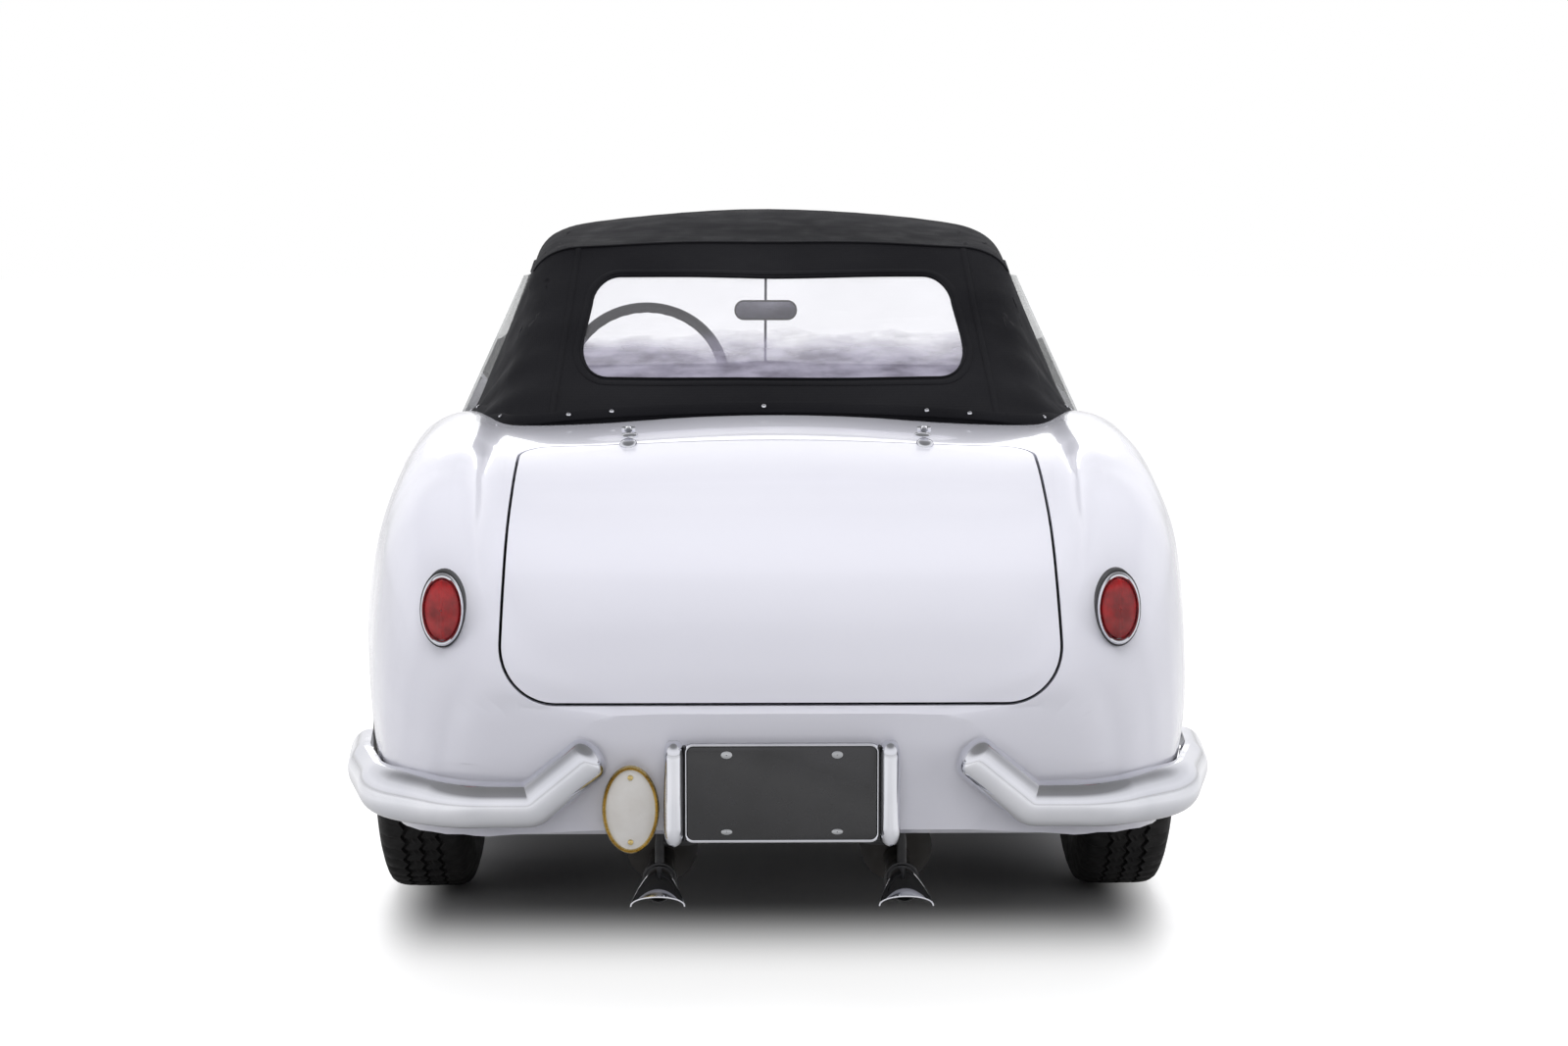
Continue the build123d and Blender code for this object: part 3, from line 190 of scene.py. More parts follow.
# %% [markdown]
# ## Finishes
# No real surface has one colour. Each finish starts from the shader's own sockets
# and adds noise at the scale of the real thing: dust and polish marks in paint,
# grain in castings, road grime on rubber. One helper wires them all, so a finish
# below is only its numbers.

# %% Finish helper
def noise_node(tree, scale, detail=4.0, stretch=(1, 1, 1)):
    """Noise in metres of the piece, so that it doesn't stretch with its shape."""
    place = tree.nodes.new("ShaderNodeTexCoord")
    size = tree.nodes.new("ShaderNodeMapping")
    size.inputs["Scale"].default_value = stretch
    noise = tree.nodes.new("ShaderNodeTexNoise")
    noise.inputs["Scale"].default_value = scale
    noise.inputs["Detail"].default_value = detail
    tree.links.new(place.outputs["Object"], size.inputs["Vector"])
    tree.links.new(size.outputs["Vector"], noise.inputs["Vector"])
    return noise.outputs["Fac"]


def spread(tree, value, low, high, start=0.35, end=0.65):
    """Maps the middle of a noise to a range."""
    node = tree.nodes.new("ShaderNodeMapRange")
    for socket, number in (("From Min", start), ("From Max", end), ("To Min", low), ("To Max", high)):
        node.inputs[socket].default_value = number
    tree.links.new(value, node.inputs["Value"])
    return node.outputs["Result"]


def blend_colours(tree, value, first, second):
    ramp = tree.nodes.new("ShaderNodeValToRGB")
    ramp.color_ramp.elements[0].color = (*first, 1)
    ramp.color_ramp.elements[1].color = (*second, 1)
    tree.links.new(value, ramp.inputs["Fac"])
    return ramp.outputs["Color"]


def add_bump(tree, shader, height, strength, distance):
    """Adds a height to what already shapes the shader's normal."""
    bump = tree.nodes.new("ShaderNodeBump")
    bump.inputs["Strength"].default_value = strength
    bump.inputs["Distance"].default_value = distance
    tree.links.new(height, bump.inputs["Height"])
    if shader.inputs["Normal"].is_linked:
        tree.links.new(shader.inputs["Normal"].links[0].from_socket, bump.inputs["Normal"])
    tree.links.new(bump.outputs["Normal"], shader.inputs["Normal"])


def finish(name, colours, rough, metallic=0.0, patches=3.0, grain=300.0, bump=0.1, depth=0.0004,
           coat=0.0, stretch=(1, 1, 1), **sockets):
    """A shader with patchy colour, uneven gloss and a fine surface relief."""
    material = bpy.data.materials.new(name)
    material.use_nodes = True
    tree = material.node_tree
    shader = tree.nodes["Principled BSDF"]
    shader.inputs["Metallic"].default_value = metallic
    shader.inputs["Coat Weight"].default_value = coat
    shader.inputs["Coat Roughness"].default_value = 0.04
    for socket, number in sockets.items():
        shader.inputs[socket.replace("_", " ")].default_value = number
    soft = spread(tree, noise_node(tree, patches, 5), 0, 1)
    tree.links.new(blend_colours(tree, soft, *colours), shader.inputs["Base Color"])
    tree.links.new(spread(tree, noise_node(tree, patches * 4, 6), *rough), shader.inputs["Roughness"])
    if bump > 0:
        add_bump(tree, shader, noise_node(tree, grain, 3, stretch), bump, depth)
    return material


print("finish helper ready")

# %% [markdown]
# ## Paint, chrome and rubber
# White car paint is a soft grey-white with a clear coat over it, and its relief is
# the faint orange peel of a sprayed panel. Chrome is nearly a mirror, with wiping
# haze. Rubber and underbody parts are matt and dusty.

# %% Hard finishes
FINISH = {}
FINISH["body_paint"] = finish("body_paint", ((0.760, 0.760, 0.830), (0.785, 0.785, 0.85)), (0.20, 0.23),
                              patches=1.2, grain=700, bump=0.05, depth=0.0001, coat=0.85)
FINISH["floor_paint"] = finish("floor_paint", ((0.045, 0.045, 0.048), (0.08, 0.078, 0.075)), (0.5, 0.75),
                               patches=5, grain=220, bump=0.35, depth=0.0012)
FINISH["cast_iron"] = finish("cast_iron", ((0.06, 0.06, 0.062), (0.14, 0.13, 0.12)), (0.45, 0.7), 0.6,
                             patches=9, grain=420, bump=0.5, depth=0.0008)
FINISH["exhaust_steel"] = finish("exhaust_steel", ((0.02, 0.019, 0.018), (0.05, 0.045, 0.04)), (0.5, 0.7),
                                 0.4, patches=8, grain=260, bump=0.3, depth=0.0006)
FINISH["chrome"] = finish("chrome", ((0.66, 0.67, 0.71), (0.76, 0.765, 0.80)), (0.03, 0.11), 1.0,
                          patches=6, grain=500, bump=0.03, depth=0.0001)
FINISH["radiator_black"] = finish("radiator_black", ((0.02, 0.02, 0.02), (0.05, 0.05, 0.05)), (0.4, 0.6),
                                  patches=6, grain=900, bump=0.8, depth=0.001, stretch=(1, 1, 0.05))
FINISH["plate_black"] = finish("plate_black", ((0.008, 0.008, 0.009), (0.016, 0.016, 0.018)), (0.16, 0.3),
                               patches=14, grain=600, bump=0.08, depth=0.0002, coat=0.4)
FINISH["enamel_white"] = finish("enamel_white", ((0.74, 0.71, 0.66), (0.82, 0.80, 0.76)), (0.12, 0.24),
                                patches=22, grain=500, bump=0.08, depth=0.0002, coat=0.7)
FINISH["gilt"] = finish("gilt", ((0.50, 0.37, 0.13), (0.70, 0.56, 0.26)), (0.16, 0.34), 1.0,
                        patches=30, grain=700, bump=0.2, depth=0.0003)
FINISH["trim_black"] = finish("trim_black", ((0.012, 0.012, 0.013), (0.03, 0.03, 0.031)), (0.42, 0.62),
                              patches=12, grain=900, bump=0.3, depth=0.0003)
FINISH["frame_black"] = finish("frame_black", ((0.015, 0.015, 0.016), (0.03, 0.03, 0.03)), (0.3, 0.5),
                               patches=9, grain=700, bump=0.2, depth=0.0003)
FINISH["tyre"] = finish("tyre", ((0.010, 0.010, 0.010), (0.028, 0.027, 0.026)), (0.6, 0.85),
                        patches=14, grain=500, bump=0.4, depth=0.0005, Specular_IOR_Level=0.3)
FINISH["wheel_silver"] = finish("wheel_silver", ((0.42, 0.43, 0.44), (0.52, 0.53, 0.54)), (0.28, 0.42), 0.75,
                                patches=7, grain=1200, bump=0.12, depth=0.0002, coat=0.3)
print(len(FINISH), "hard finishes")

# %% [markdown]
# ## Lenses and clear sheets
# Window glass is thin, so it is mostly see-through with a mirror sheen that grows
# at glancing angles; real refraction would only darken the cabin. The rear window
# is soft vinyl: a faint lilac cast, and ripples that come from its relief. A lens
# is coloured through its depth, with fine prisms moulded on it.

# %% Clear and coloured finishes
def clear(name, tint, sheen_rough, ripple=0.0, ripple_scale=6.0, haze_and_shade=0.0):
    """Thin sheet: tinted see-through, a gloss layer, and a little milky haze."""
    material = bpy.data.materials.new(name)
    material.use_nodes = True
    tree = material.node_tree
    shader = tree.nodes["Principled BSDF"]
    shader.inputs["Roughness"].default_value = sheen_rough
    shader.inputs["IOR"].default_value = 1.5
    tone = spread(tree, noise_node(tree, 5, 4), 0, 1)
    tree.links.new(blend_colours(tree, tone, [c * 0.9 for c in tint], tint), shader.inputs["Base Color"])
    if ripple > 0:
        add_bump(tree, shader, noise_node(tree, ripple_scale, 2, (1, 1, 2.5)), ripple, 0.02)
    see = tree.nodes.new("ShaderNodeBsdfTransparent")
    tree.links.new(blend_colours(tree, tone, [c * 0.985 for c in tint], tint), see.inputs["Color"])
    edge = tree.nodes.new("ShaderNodeLayerWeight")
    steep = tree.nodes.new("ShaderNodeMath")
    steep.operation = "POWER"
    steep.inputs[1].default_value = 5.0
    tree.links.new(edge.outputs["Facing"], steep.inputs[0])
    share = spread(tree, steep.outputs["Value"], haze_and_shade + 0.04, 0.9, 0.0, 1.0)
    mix = tree.nodes.new("ShaderNodeMixShader")
    tree.links.new(share, mix.inputs["Fac"])
    tree.links.new(see.outputs["BSDF"], mix.inputs[1])
    tree.links.new(shader.outputs["BSDF"], mix.inputs[2])
    tree.links.new(mix.outputs["Shader"], tree.nodes["Material Output"].inputs["Surface"])
    return material


def lens(name, dark, light, prisms=260.0):
    """Moulded plastic lens with fine upright prisms under a glossy face."""
    material = finish(name, (dark, light), (0.06, 0.14), patches=40, bump=0.0, coat=0.25)
    tree = material.node_tree
    shader = tree.nodes["Principled BSDF"]
    wave = tree.nodes.new("ShaderNodeTexWave")
    wave.inputs["Scale"].default_value = prisms
    place = tree.nodes.new("ShaderNodeTexCoord")
    tree.links.new(place.outputs["Object"], wave.inputs["Vector"])
    add_bump(tree, shader, wave.outputs["Fac"], 0.5, 0.0006)
    return material


FINISH["clear_glass"] = clear("clear_glass", (0.99, 0.995, 0.992), 0.02)
FINISH["clear_film"] = clear("clear_film", (0.985, 0.98, 1.0), 0.06, 0.12, 3.0, 0.0)
# Painted shade: below a wavy line about 1.0 m up, a dark lilac-grey layer mottled by noise covers up to 0.62
# of the film. It stands in for the shaded cowl seen through it.
tree = FINISH["clear_film"].node_tree
place = tree.nodes.new("ShaderNodeTexCoord")
apart = tree.nodes.new("ShaderNodeSeparateXYZ")
tree.links.new(place.outputs["Object"], apart.inputs["Vector"])
shade_edge = tree.nodes.new("ShaderNodeMath")
shade_edge.operation = "MULTIPLY_ADD"
shade_edge.inputs[1].default_value = -0.07
tree.links.new(noise_node(tree, 9.0, 3, (1, 1, 3)), shade_edge.inputs[0])
tree.links.new(apart.outputs["Z"], shade_edge.inputs[2])
shade_share = spread(tree, shade_edge.outputs["Value"], 0.62, 0.0, 0.975, 1.02)
haze_and_shade = tree.nodes.new("ShaderNodeBsdfPrincipled")
haze_and_shade.inputs["Roughness"].default_value = 0.35
folds_and_shade = spread(tree, noise_node(tree, 14.0, 4, (1, 1, 3)), 0, 1)
tree.links.new(blend_colours(tree, folds_and_shade, (0.16, 0.145, 0.20), (0.42, 0.40, 0.50)), haze_and_shade.inputs["Base Color"])
top = tree.nodes.new("ShaderNodeMixShader")
end = tree.nodes["Material Output"].inputs["Surface"]
tree.links.new(shade_share, top.inputs["Fac"])
tree.links.new(end.links[0].from_socket, top.inputs[1])
tree.links.new(haze_and_shade.outputs["BSDF"], top.inputs[2])
tree.links.new(top.outputs["Shader"], end)
FINISH["red_lens"] = lens("red_lens", (0.22, 0.001, 0.002), (0.46, 0.003, 0.005))
FINISH["amber_lens"] = lens("amber_lens", (0.55, 0.16, 0.01), (0.80, 0.32, 0.03))
print("clear and coloured finishes ready")

# %% [markdown]
# ## Fabric and seat cover
# The hood is a double-weave cloth: two sets of threads that cross, about a
# millimetre apart, with lint and fading over them. Two wave textures multiplied
# give the weave without any picture. The seats are grained vinyl.

# %% Woven and grained finishes
def woven(name, first, second, thread=1500.0, sheen=0.03):
    material = finish(name, (first, second), (0.75, 0.95), patches=4, bump=0.0)
    tree = material.node_tree
    shader = tree.nodes["Principled BSDF"]
    shader.inputs["Sheen Weight"].default_value = sheen
    shader.inputs["Specular IOR Level"].default_value = 0.12
    shader.inputs["Sheen Roughness"].default_value = 0.4
    place = tree.nodes.new("ShaderNodeTexCoord")
    heights = []
    for way in ("X", "Z"):
        wave = tree.nodes.new("ShaderNodeTexWave")
        wave.bands_direction = way
        wave.inputs["Scale"].default_value = thread / 20
        wave.inputs["Distortion"].default_value = 0.6
        tree.links.new(place.outputs["Object"], wave.inputs["Vector"])
        heights.append(wave.outputs["Fac"])
    cross = tree.nodes.new("ShaderNodeMath")
    cross.operation = "MULTIPLY"
    tree.links.new(heights[0], cross.inputs[0])
    tree.links.new(heights[1], cross.inputs[1])
    add_bump(tree, shader, cross.outputs["Value"], 0.35, 0.0006)
    add_bump(tree, shader, noise_node(tree, 60, 4), 0.15, 0.001)
    return material


def grained(name, first, second, grain=260.0):
    """Vinyl: small cells with creases between them."""
    material = finish(name, (first, second), (0.38, 0.55), patches=8, bump=0.0)
    tree = material.node_tree
    cells = tree.nodes.new("ShaderNodeTexVoronoi")
    cells.inputs["Scale"].default_value = grain
    place = tree.nodes.new("ShaderNodeTexCoord")
    tree.links.new(place.outputs["Object"], cells.inputs["Vector"])
    add_bump(tree, tree.nodes["Principled BSDF"], cells.outputs["Distance"], 0.4, 0.0006)
    return material


FINISH["canvas_black"] = woven("canvas_black", (0.0045, 0.0045, 0.006), (0.010, 0.010, 0.012))
FINISH["seat_black"] = grained("seat_black", (0.016, 0.015, 0.015), (0.032, 0.030, 0.030))
print(sorted(FINISH))

# %% [markdown]
# ## Body panels as one fair surface
# The frame's panels come from rows of arcs joined by straight lines, which leaves
# a faint facet at each row. Coachbuilders fair such a surface with battens. Here
# the same table of rows is faired along the car by a cubic, each panel's mesh is
# copied and divided, and every point moves from the straight surface to the fair
# one. The shut lines move with it, so their gaps stay as they are.

# %% Rows of the body, as in the frame
BODY_ROWS = [
    (-2055, 488, 170, 488, 270, 486, 325, 455, 345, 400, 300, 300),
    (-2044, 506, 230, 506, 385, 503, 446, 462, 462, 400, 424, 292),
    (-2018, 552, 330, 549, 470, 560, 530, 512, 550, 405, 512, 287),
    (-1980, 612, 400, 606, 522, 628, 584, 572, 604, 412, 568, 284),
    (-1930, 674, 440, 667, 542, 712, 616, 632, 642, 430, 606, 281),
    (-1850, 748, 460, 742, 548, 795, 648, 690, 672, 475, 636, 279),
    (-1700, 828, 470, 820, 548, 862, 682, 706, 698, 500, 660, 273),
    (-1500, 884, 478, 872, 554, 896, 708, 700, 725, 515, 688, 267),
    (-1200, 916, 490, 895, 568, 910, 737, 672, 760, 520, 712, 258),
    (-900, 918, 505, 890, 594, 900, 752, 662, 775, 515, 718, 250),
    (-600, 910, 525, 866, 626, 864, 750, 660, 776, 510, 718, 245),
    (-100, 905, 540, 856, 652, 850, 746, 662, 775, 505, 715, 243),
    (450, 912, 535, 864, 648, 862, 738, 664, 770, 500, 712, 245),
    (900, 884, 470, 846, 618, 842, 708, 715, 768, 480, 712, 250),
    (1375, 815, 440, 790, 590, 812, 690, 720, 766, 450, 715, 255),
    (1650, 752, 415, 733, 575, 785, 674, 695, 748, 440, 702, 262),
    (1820, 700, 395, 688, 568, 758, 655, 672, 712, 435, 672, 268),
    (1920, 662, 370, 650, 555, 705, 625, 625, 665, 430, 628, 274),
    (1975, 624, 330, 612, 480, 622, 550, 555, 585, 425, 550, 282),
    (2015, 580, 240, 572, 360, 562, 430, 515, 462, 420, 430, 292),
    (2035, 545, 150, 540, 230, 532, 290, 490, 310, 420, 280, 305),
]
SOFT_ROWS = [
    (352, 1256, 395, 1240, 480, 1198, 660, 820),
    (230, 1256, 395, 1240, 480, 1198, 660, 820),
    (60, 1288, 400, 1258, 488, 1203, 650, 820),
    (-150, 1300, 400, 1266, 494, 1204, 640, 820),
    (-430, 1284, 400, 1258, 494, 1200, 633, 820),
    (-680, 1232, 390, 1222, 484, 1166, 632, 820),
    (-860, 1132, 392, 1118, 496, 1058, 628, 820),
    (-1060, 1020, 396, 1004, 512, 958, 618, 820),
    (-1240, 918, 400, 902, 516, 868, 600, 800),
]
print(len(BODY_ROWS), "body rows,", len(SOFT_ROWS), "hood rows")


# %% Sections made of tangent arcs
def turned(vector, angle):
    c, s = cos(angle), sin(angle)
    return np.array([c * vector[0] - s * vector[1], s * vector[0] + c * vector[1]])


def half_turn(p0, t0, p1):
    """Half the angle that an arc from p0 along t0 turns through to reach p1."""
    chord = p1 - p0
    return atan2(t0[0] * chord[1] - t0[1] * chord[0], t0 @ chord)


def end_tangent(p0, t0, p1):
    return turned(t0, 2 * half_turn(p0, t0, p1))


def joint_point(p0, t0, p1, t1):
    """Where two arcs meet that leave p0 along t0 and reach p1 along t1."""
    v = p1 - p0
    a, b, c = 2 * (1 - t0 @ t1), 2 * (v @ (t0 + t1)), -(v @ v)
    d = -c / b if abs(a) < 1e-9 else (-b + sqrt(b * b - 4 * a * c)) / (2 * a)
    return (p0 + d * t0 + p1 - d * t1) / 2


def arc_points(p0, t0, p1, count):
    """Points from p0 along an arc, without its end."""
    half, chord, points = half_turn(p0, t0, p1), p1 - p0, []
    for k in range(count):
        f = k / count
        if abs(half) < 1e-5:
            points.append(p0 + chord * f)
        else:
            reach = np.linalg.norm(chord) * sin(f * half) / sin(half)
            points.append(p0 + reach * turned(t0, f * half))
    return points


def whole_section(nodes, count=8):
    """Line from the left hem over the top to the right one, from a half's arcs."""
    right = []
    for (p0, t0), (p1, _) in zip(nodes, nodes[1:]):
        right += arc_points(p0, t0, p1, count)
    right.append(nodes[-1][0])
    right = np.array(right)
    return np.vstack([right[:0:-1] * (-1, 1), right])


def body_section(row):
    middle = np.array([0, row[1]])
    valley, crown, shoulder, wide, sill = [np.array(row[k:k + 2]) for k in (2, 4, 6, 8, 10)]
    flat, down = np.array([1.0, 0]), np.array([0, -1.0])
    over = -end_tangent(wide, -down, shoulder)
    j1 = joint_point(middle, flat, valley, flat)
    j2 = joint_point(valley, flat, crown, flat)
    j3 = joint_point(crown, flat, shoulder, over)
    return whole_section([(middle, flat), (j1, end_tangent(middle, flat, j1)),
                          (valley, flat), (j2, end_tangent(valley, flat, j2)),
                          (crown, flat), (j3, end_tangent(crown, flat, j3)),
                          (shoulder, over), (wide, down), (sill, down)])


def soft_section(row):
    top = np.array([0, row[1]])
    roof, shoulder, hem = [np.array(row[k:k + 2]) for k in (2, 4, 6)]
    flat = np.array([1.0, 0])
    over = end_tangent(top, flat, roof)
    side = (hem - shoulder) / np.linalg.norm(hem - shoulder)
    joint = joint_point(roof, over, shoulder, side)
    return whole_section([(top, flat), (roof, over), (joint, end_tangent(roof, over, joint)),
                          (shoulder, side), (hem, side)])


print("section points:", len(body_section(np.array(BODY_ROWS[8], float))))


# %% Fair rows between the given ones
def fair_row(table, y, sharp=()):
    """Cubic through the rows; slopes don't carry over a row listed as sharp."""
    table = np.array(table, float)
    if table[0, 0] > table[-1, 0]:
        table = table[::-1]
    x = table[:, 0]
    i = min(max(int(np.searchsorted(x, y)) - 1, 0), len(x) - 2)
    rise = np.diff(table, axis=0) / np.diff(x)[:, None]

    def slope(k, side):
        if k in (0, len(x) - 1) or x[k] in sharp:
            return rise[min(side, len(rise) - 1)]
        h0, h1 = x[k] - x[k - 1], x[k + 1] - x[k]
        return (h0 * rise[k] + h1 * rise[k - 1]) / (h0 + h1)

    h = x[i + 1] - x[i]
    f = (y - x[i]) / h
    m0, m1 = slope(i, i), slope(i + 1, i)
    row = (table[i] * (2 * f ** 3 - 3 * f ** 2 + 1) + m0 * h * (f ** 3 - 2 * f ** 2 + f)
           + table[i + 1] * (3 * f ** 2 - 2 * f ** 3) + m1 * h * (f ** 3 - f ** 2))
    row[0] = y
    return row


class Fairing:
    """Straight surface, fair surface and its normals, on one grid of points."""

    def __init__(self, table, section, sharp=(), steps=8):
        table = sorted(table)
        straight, fair, normal = [], [], []
        for before, after in zip(table, table[1:]):
            a, b = section(np.array(before, float)), section(np.array(after, float))
            last = after is table[-1]
            for k in range(steps + last):
                f = k / steps
                y = before[0] + (after[0] - before[0]) * f
                straight.append(self.lift(a + (b - a) * f, y))
                fair.append(self.lift(section(fair_row(table, y, sharp)), y))
                near = min(0.5, (after[0] - before[0]) / 20)
                ahead, behind = min(y + near, after[0]), max(y - near, before[0])
                along = self.lift(section(fair_row(table, ahead, sharp)), ahead) \
                    - self.lift(section(fair_row(table, behind, sharp)), behind)
                across = np.gradient(fair[-1], axis=0)
                n = np.cross(across, along)
                normal.append(n / np.maximum(np.linalg.norm(n, axis=1), 1e-9)[:, None])
        self.rows, self.columns = len(fair), len(fair[0])
        self.straight = np.vstack(straight) / 1000
        self.fair = np.vstack(fair) / 1000
        self.normal = np.vstack(normal)
        if self.normal[self.columns * (self.rows // 2) + self.columns // 2][2] < 0:
            self.normal *= -1
        quads = grid_faces(self.rows, self.columns)
        self.triangles = [t for a, b, c, d in quads for t in ((a, b, c), (a, c, d))]
        self.tree = BVHTree.FromPolygons([Vector(p) for p in self.straight], self.triangles)

    @staticmethod
    def lift(section, y):
        return np.column_stack([section[:, 0], np.full(len(section), y), section[:, 1]])

    def find(self, point, reach):
        """Distance, move to the fair surface and its normal for a point near the straight one."""
        spot, _, index, distance = self.tree.find_nearest(point, reach)
        if spot is None:
            return None
        corners = self.triangles[index]
        a, b, c = self.straight[list(corners)]
        weights = np.array([np.linalg.norm(np.cross(b - spot, c - spot)),
                            np.linalg.norm(np.cross(c - spot, a - spot)),
                            np.linalg.norm(np.cross(a - spot, b - spot))])
        weights = weights / max(weights.sum(), 1e-12)
        move = weights @ (self.fair - self.straight)[list(corners)]
        normal = weights @ self.normal[list(corners)]
        return distance, move, normal / max(np.linalg.norm(normal), 1e-9)


BODY_FAIRING = Fairing(BODY_ROWS, body_section)
HOOD_FAIRING = Fairing(SOFT_ROWS, soft_section, sharp=(-680, 230))
step = np.linalg.norm(BODY_FAIRING.fair - BODY_FAIRING.straight, axis=1)
print("fair surface differs by up to", round(float(step.max()) * 1000, 1), "mm")


# %% Move a copy of a panel to the fair surface
SLOTS = {part["node"]: part["material_slot"] for part in frame["record"]["subparts"]}


def fuller_tail(point):
    """Roundness of the tail's lower face: how far out, and the lean it gives the normal."""
    x, y, z = point
    if y > -1.60 or not 0.497 < z < 0.83:
        return 0, 0
    across = min(max((0.56 - abs(x)) / 0.24, 0), 1)
    across = across * across * (3 - 2 * across) * TAIL_SWELL
    if z < 0.69:
        part = (0.69 - z) / 0.193
        return across * (1 - part * part), across * 2 * part / 0.193
    part = (0.83 - z) / 0.14
    return across * part * part * (3 - 2 * part), -across * 6 * part * (1 - part) / 0.14


TAIL_SWELL = 0.034


def faired(node, fairing, material, body="body", longest=42, reach=19, extra=None, name=None, swell=None):
    """Piece made from a node's mesh, divided and moved to the fair surface."""
    source = frame["nodes"][node]
    bm = bmesh.new()
    bm.from_mesh(source.data)
    bmesh.ops.remove_doubles(bm, verts=bm.verts, dist=0.00002)
    for _ in range(6):
        long_edges = [e for e in bm.edges if e.calc_length() > longest / 1000]
        if not long_edges:
            break
        bmesh.ops.subdivide_edges(bm, edges=long_edges, cuts=1)
        bmesh.ops.triangulate(bm, faces=[f for f in bm.faces if len(f.verts) > 3])
    bm.normal_update()
    normals = {}
    for vert in bm.verts:
        found = fairing.find(vert.co, reach / 1000)
        if found:
            distance, move, normal = found
            fuller, tilt = swell(vert.co) if swell else (0, 0)
            if distance < 0.0016:
                leaning = normal - np.array([0, 0, tilt])
                normals[vert.index] = leaning / np.linalg.norm(leaning)
            vert.co += Vector(normal * (move @ normal)) + Vector((0, -fuller, 0))
            if extra:
                vert.co += Vector(extra(vert.co, normal))
    bm.verts.index_update()
    for face in bm.faces:
        face.smooth = True
    for edge in bm.edges:
        edge.smooth = len(edge.link_faces) != 2 or edge.calc_face_angle(0) < radians(28)
    bm.normal_update()
    mesh = bpy.data.meshes.new(name or node + "_skin")
    bm.to_mesh(mesh)
    bm.free()
    piece = bpy.data.objects.new(mesh.name, mesh)
    bpy.context.scene.collection.objects.link(piece)
    mesh.materials.append(material)
    if extra is None:
        custom = []
        for polygon in mesh.polygons:
            on_skin = all(v in normals and polygon.normal.dot(Vector(normals[v])) > 0.8
                          for v in polygon.vertices)
            custom += [tuple(normals[v]) if on_skin else (0, 0, 0) for v in polygon.vertices]
        mesh.normals_split_custom_set(custom)
    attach(piece, body)
    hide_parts(node)
    print(piece.name, len(mesh.polygons), "faces")
    return piece

# %% Fair the painted panels
for node, carrier in (("front_body", "body"), ("rear_body", "body"), ("bonnet", "bonnet"),
                      ("boot_lid", "boot_lid"), ("door_right", "door_right"), ("door_left", "door_left")):
    faired(node, BODY_FAIRING, FINISH["body_paint"], carrier, longest=30 if node == "boot_lid" else 42,
           swell=fuller_tail if node in ("rear_body", "boot_lid") else None)

# %% [markdown]
# ## The other rigid parts
# Where the frame's own part already has the right shape, it stays, and only its
# finish changes. The record names a slot for each part, so one loop does them all.

# %% Finishes for the frame's own parts
for node, part in frame["nodes"].items():
    slot = SLOTS[node]
    for place in part.material_slots:
        place.material = FINISH[slot]
print(len(frame["nodes"]), "parts finished")

# %% [markdown]
# ## Soft top
# The hood is one sheet of double cloth pulled over three bows and fastened to the
# deck. It is made as the panels were, but its points also move with the cloth: it
# hangs a little between the bows, and it pulls into soft folds above the corners
# where the studs hold it. The weave and the lint are in the finish.

# %% Soft top sheet
def cloth_move(point, normal):
    """Sag between the bows, a fold over each rear corner, and slow waves."""
    x, y, z = point[0], point[1], point[2]
    behind = min(max((-0.69 - y) / 0.5, 0), 1)
    sag = -0.007 * sin(pi * behind) * max(0, 1 - abs(x) / 0.42) if behind > 0 else 0
    for low, high in ((-0.66, -0.29), (-0.29, 0.03), (0.03, 0.30)):
        if low < y < high and z > 1.19:
            sag -= 0.004 * sin(pi * (y - low) / (high - low))
    side = min(max((abs(x) - 0.40) / 0.12, 0), 1) * behind
    hem = min(max((0.965 - z) / 0.09, 0), 1) * min(max((abs(x) - 0.44) / 0.1, 0), 1) * behind ** 0.5
    sag += 0.013 * hem * hem
    folds_and_shade = 0.0035 * side * sin(38 * (y + 0.9 * z)) + 0.0012 * sin(17 * x + 9 * z) * sin(13 * z - 6 * y)
    return [c * (sag + folds_and_shade) for c in normal]


hood = faired("soft_top", HOOD_FAIRING, FINISH["canvas_black"], longest=16, reach=10, extra=cloth_move,
              name="soft_top_cloth")
faired("soft_top_window", HOOD_FAIRING, FINISH["clear_film"], longest=12, reach=10,
       extra=lambda p, n: [c * (cloth_move(p, n)[2] / max(n[2], 0.2)
                                + 0.0016 * sin(26 * p[0] + 3) * sin(31 * p[2] + 4 * p[0])) for c in n],
       name="rear_window_film")

# %% [markdown]
# ## Seams, binding and studs of the hood
# Cloth edges are bound: a welt round the clear window, a raised seam where the roof
# meets each side curtain, and a folded hem along the deck with bright studs through
# it. Each is a thin strip laid on the sheet, along a line found on its fair surface.

# %% Lines on the hood
def hood_point(column, y, lift=0.0):
    """Point in mm on the moved hood at a column of the section, and its outward normal."""
    section = soft_section(fair_row(SOFT_ROWS, y, (-680, 230)))
    base = len(section) // 2
    low = int(np.floor(column))
    f = column - low
    a, b = section[base + low], section[min(base + low + 1, len(section) - 1)]
    spot = np.array([a[0] + (b[0] - a[0]) * f, y, a[1] + (b[1] - a[1]) * f])
    hit = HOOD_FAIRING.find(Vector(spot / 1000), 0.05)
    normal = hit[2]
    moved = spot + 1000 * np.array(cloth_move(spot / 1000, normal)) + normal * lift
    return moved, normal


def strip(name, line, width, height, material, sizes=None, closed=False, body="body"):
    """Flat raised band along (point, normal) pairs."""
    section = [(height * h, width / 2 * w) for w, h in
               ((-1, -0.6), (1, -0.6), (1, 0.5), (0.7, 1), (-0.7, 1), (-1, 0.5))]
    return sweep(name, [p for p, _ in line], [n for _, n in line], section, material, body, closed, sizes,
                 crease=60)


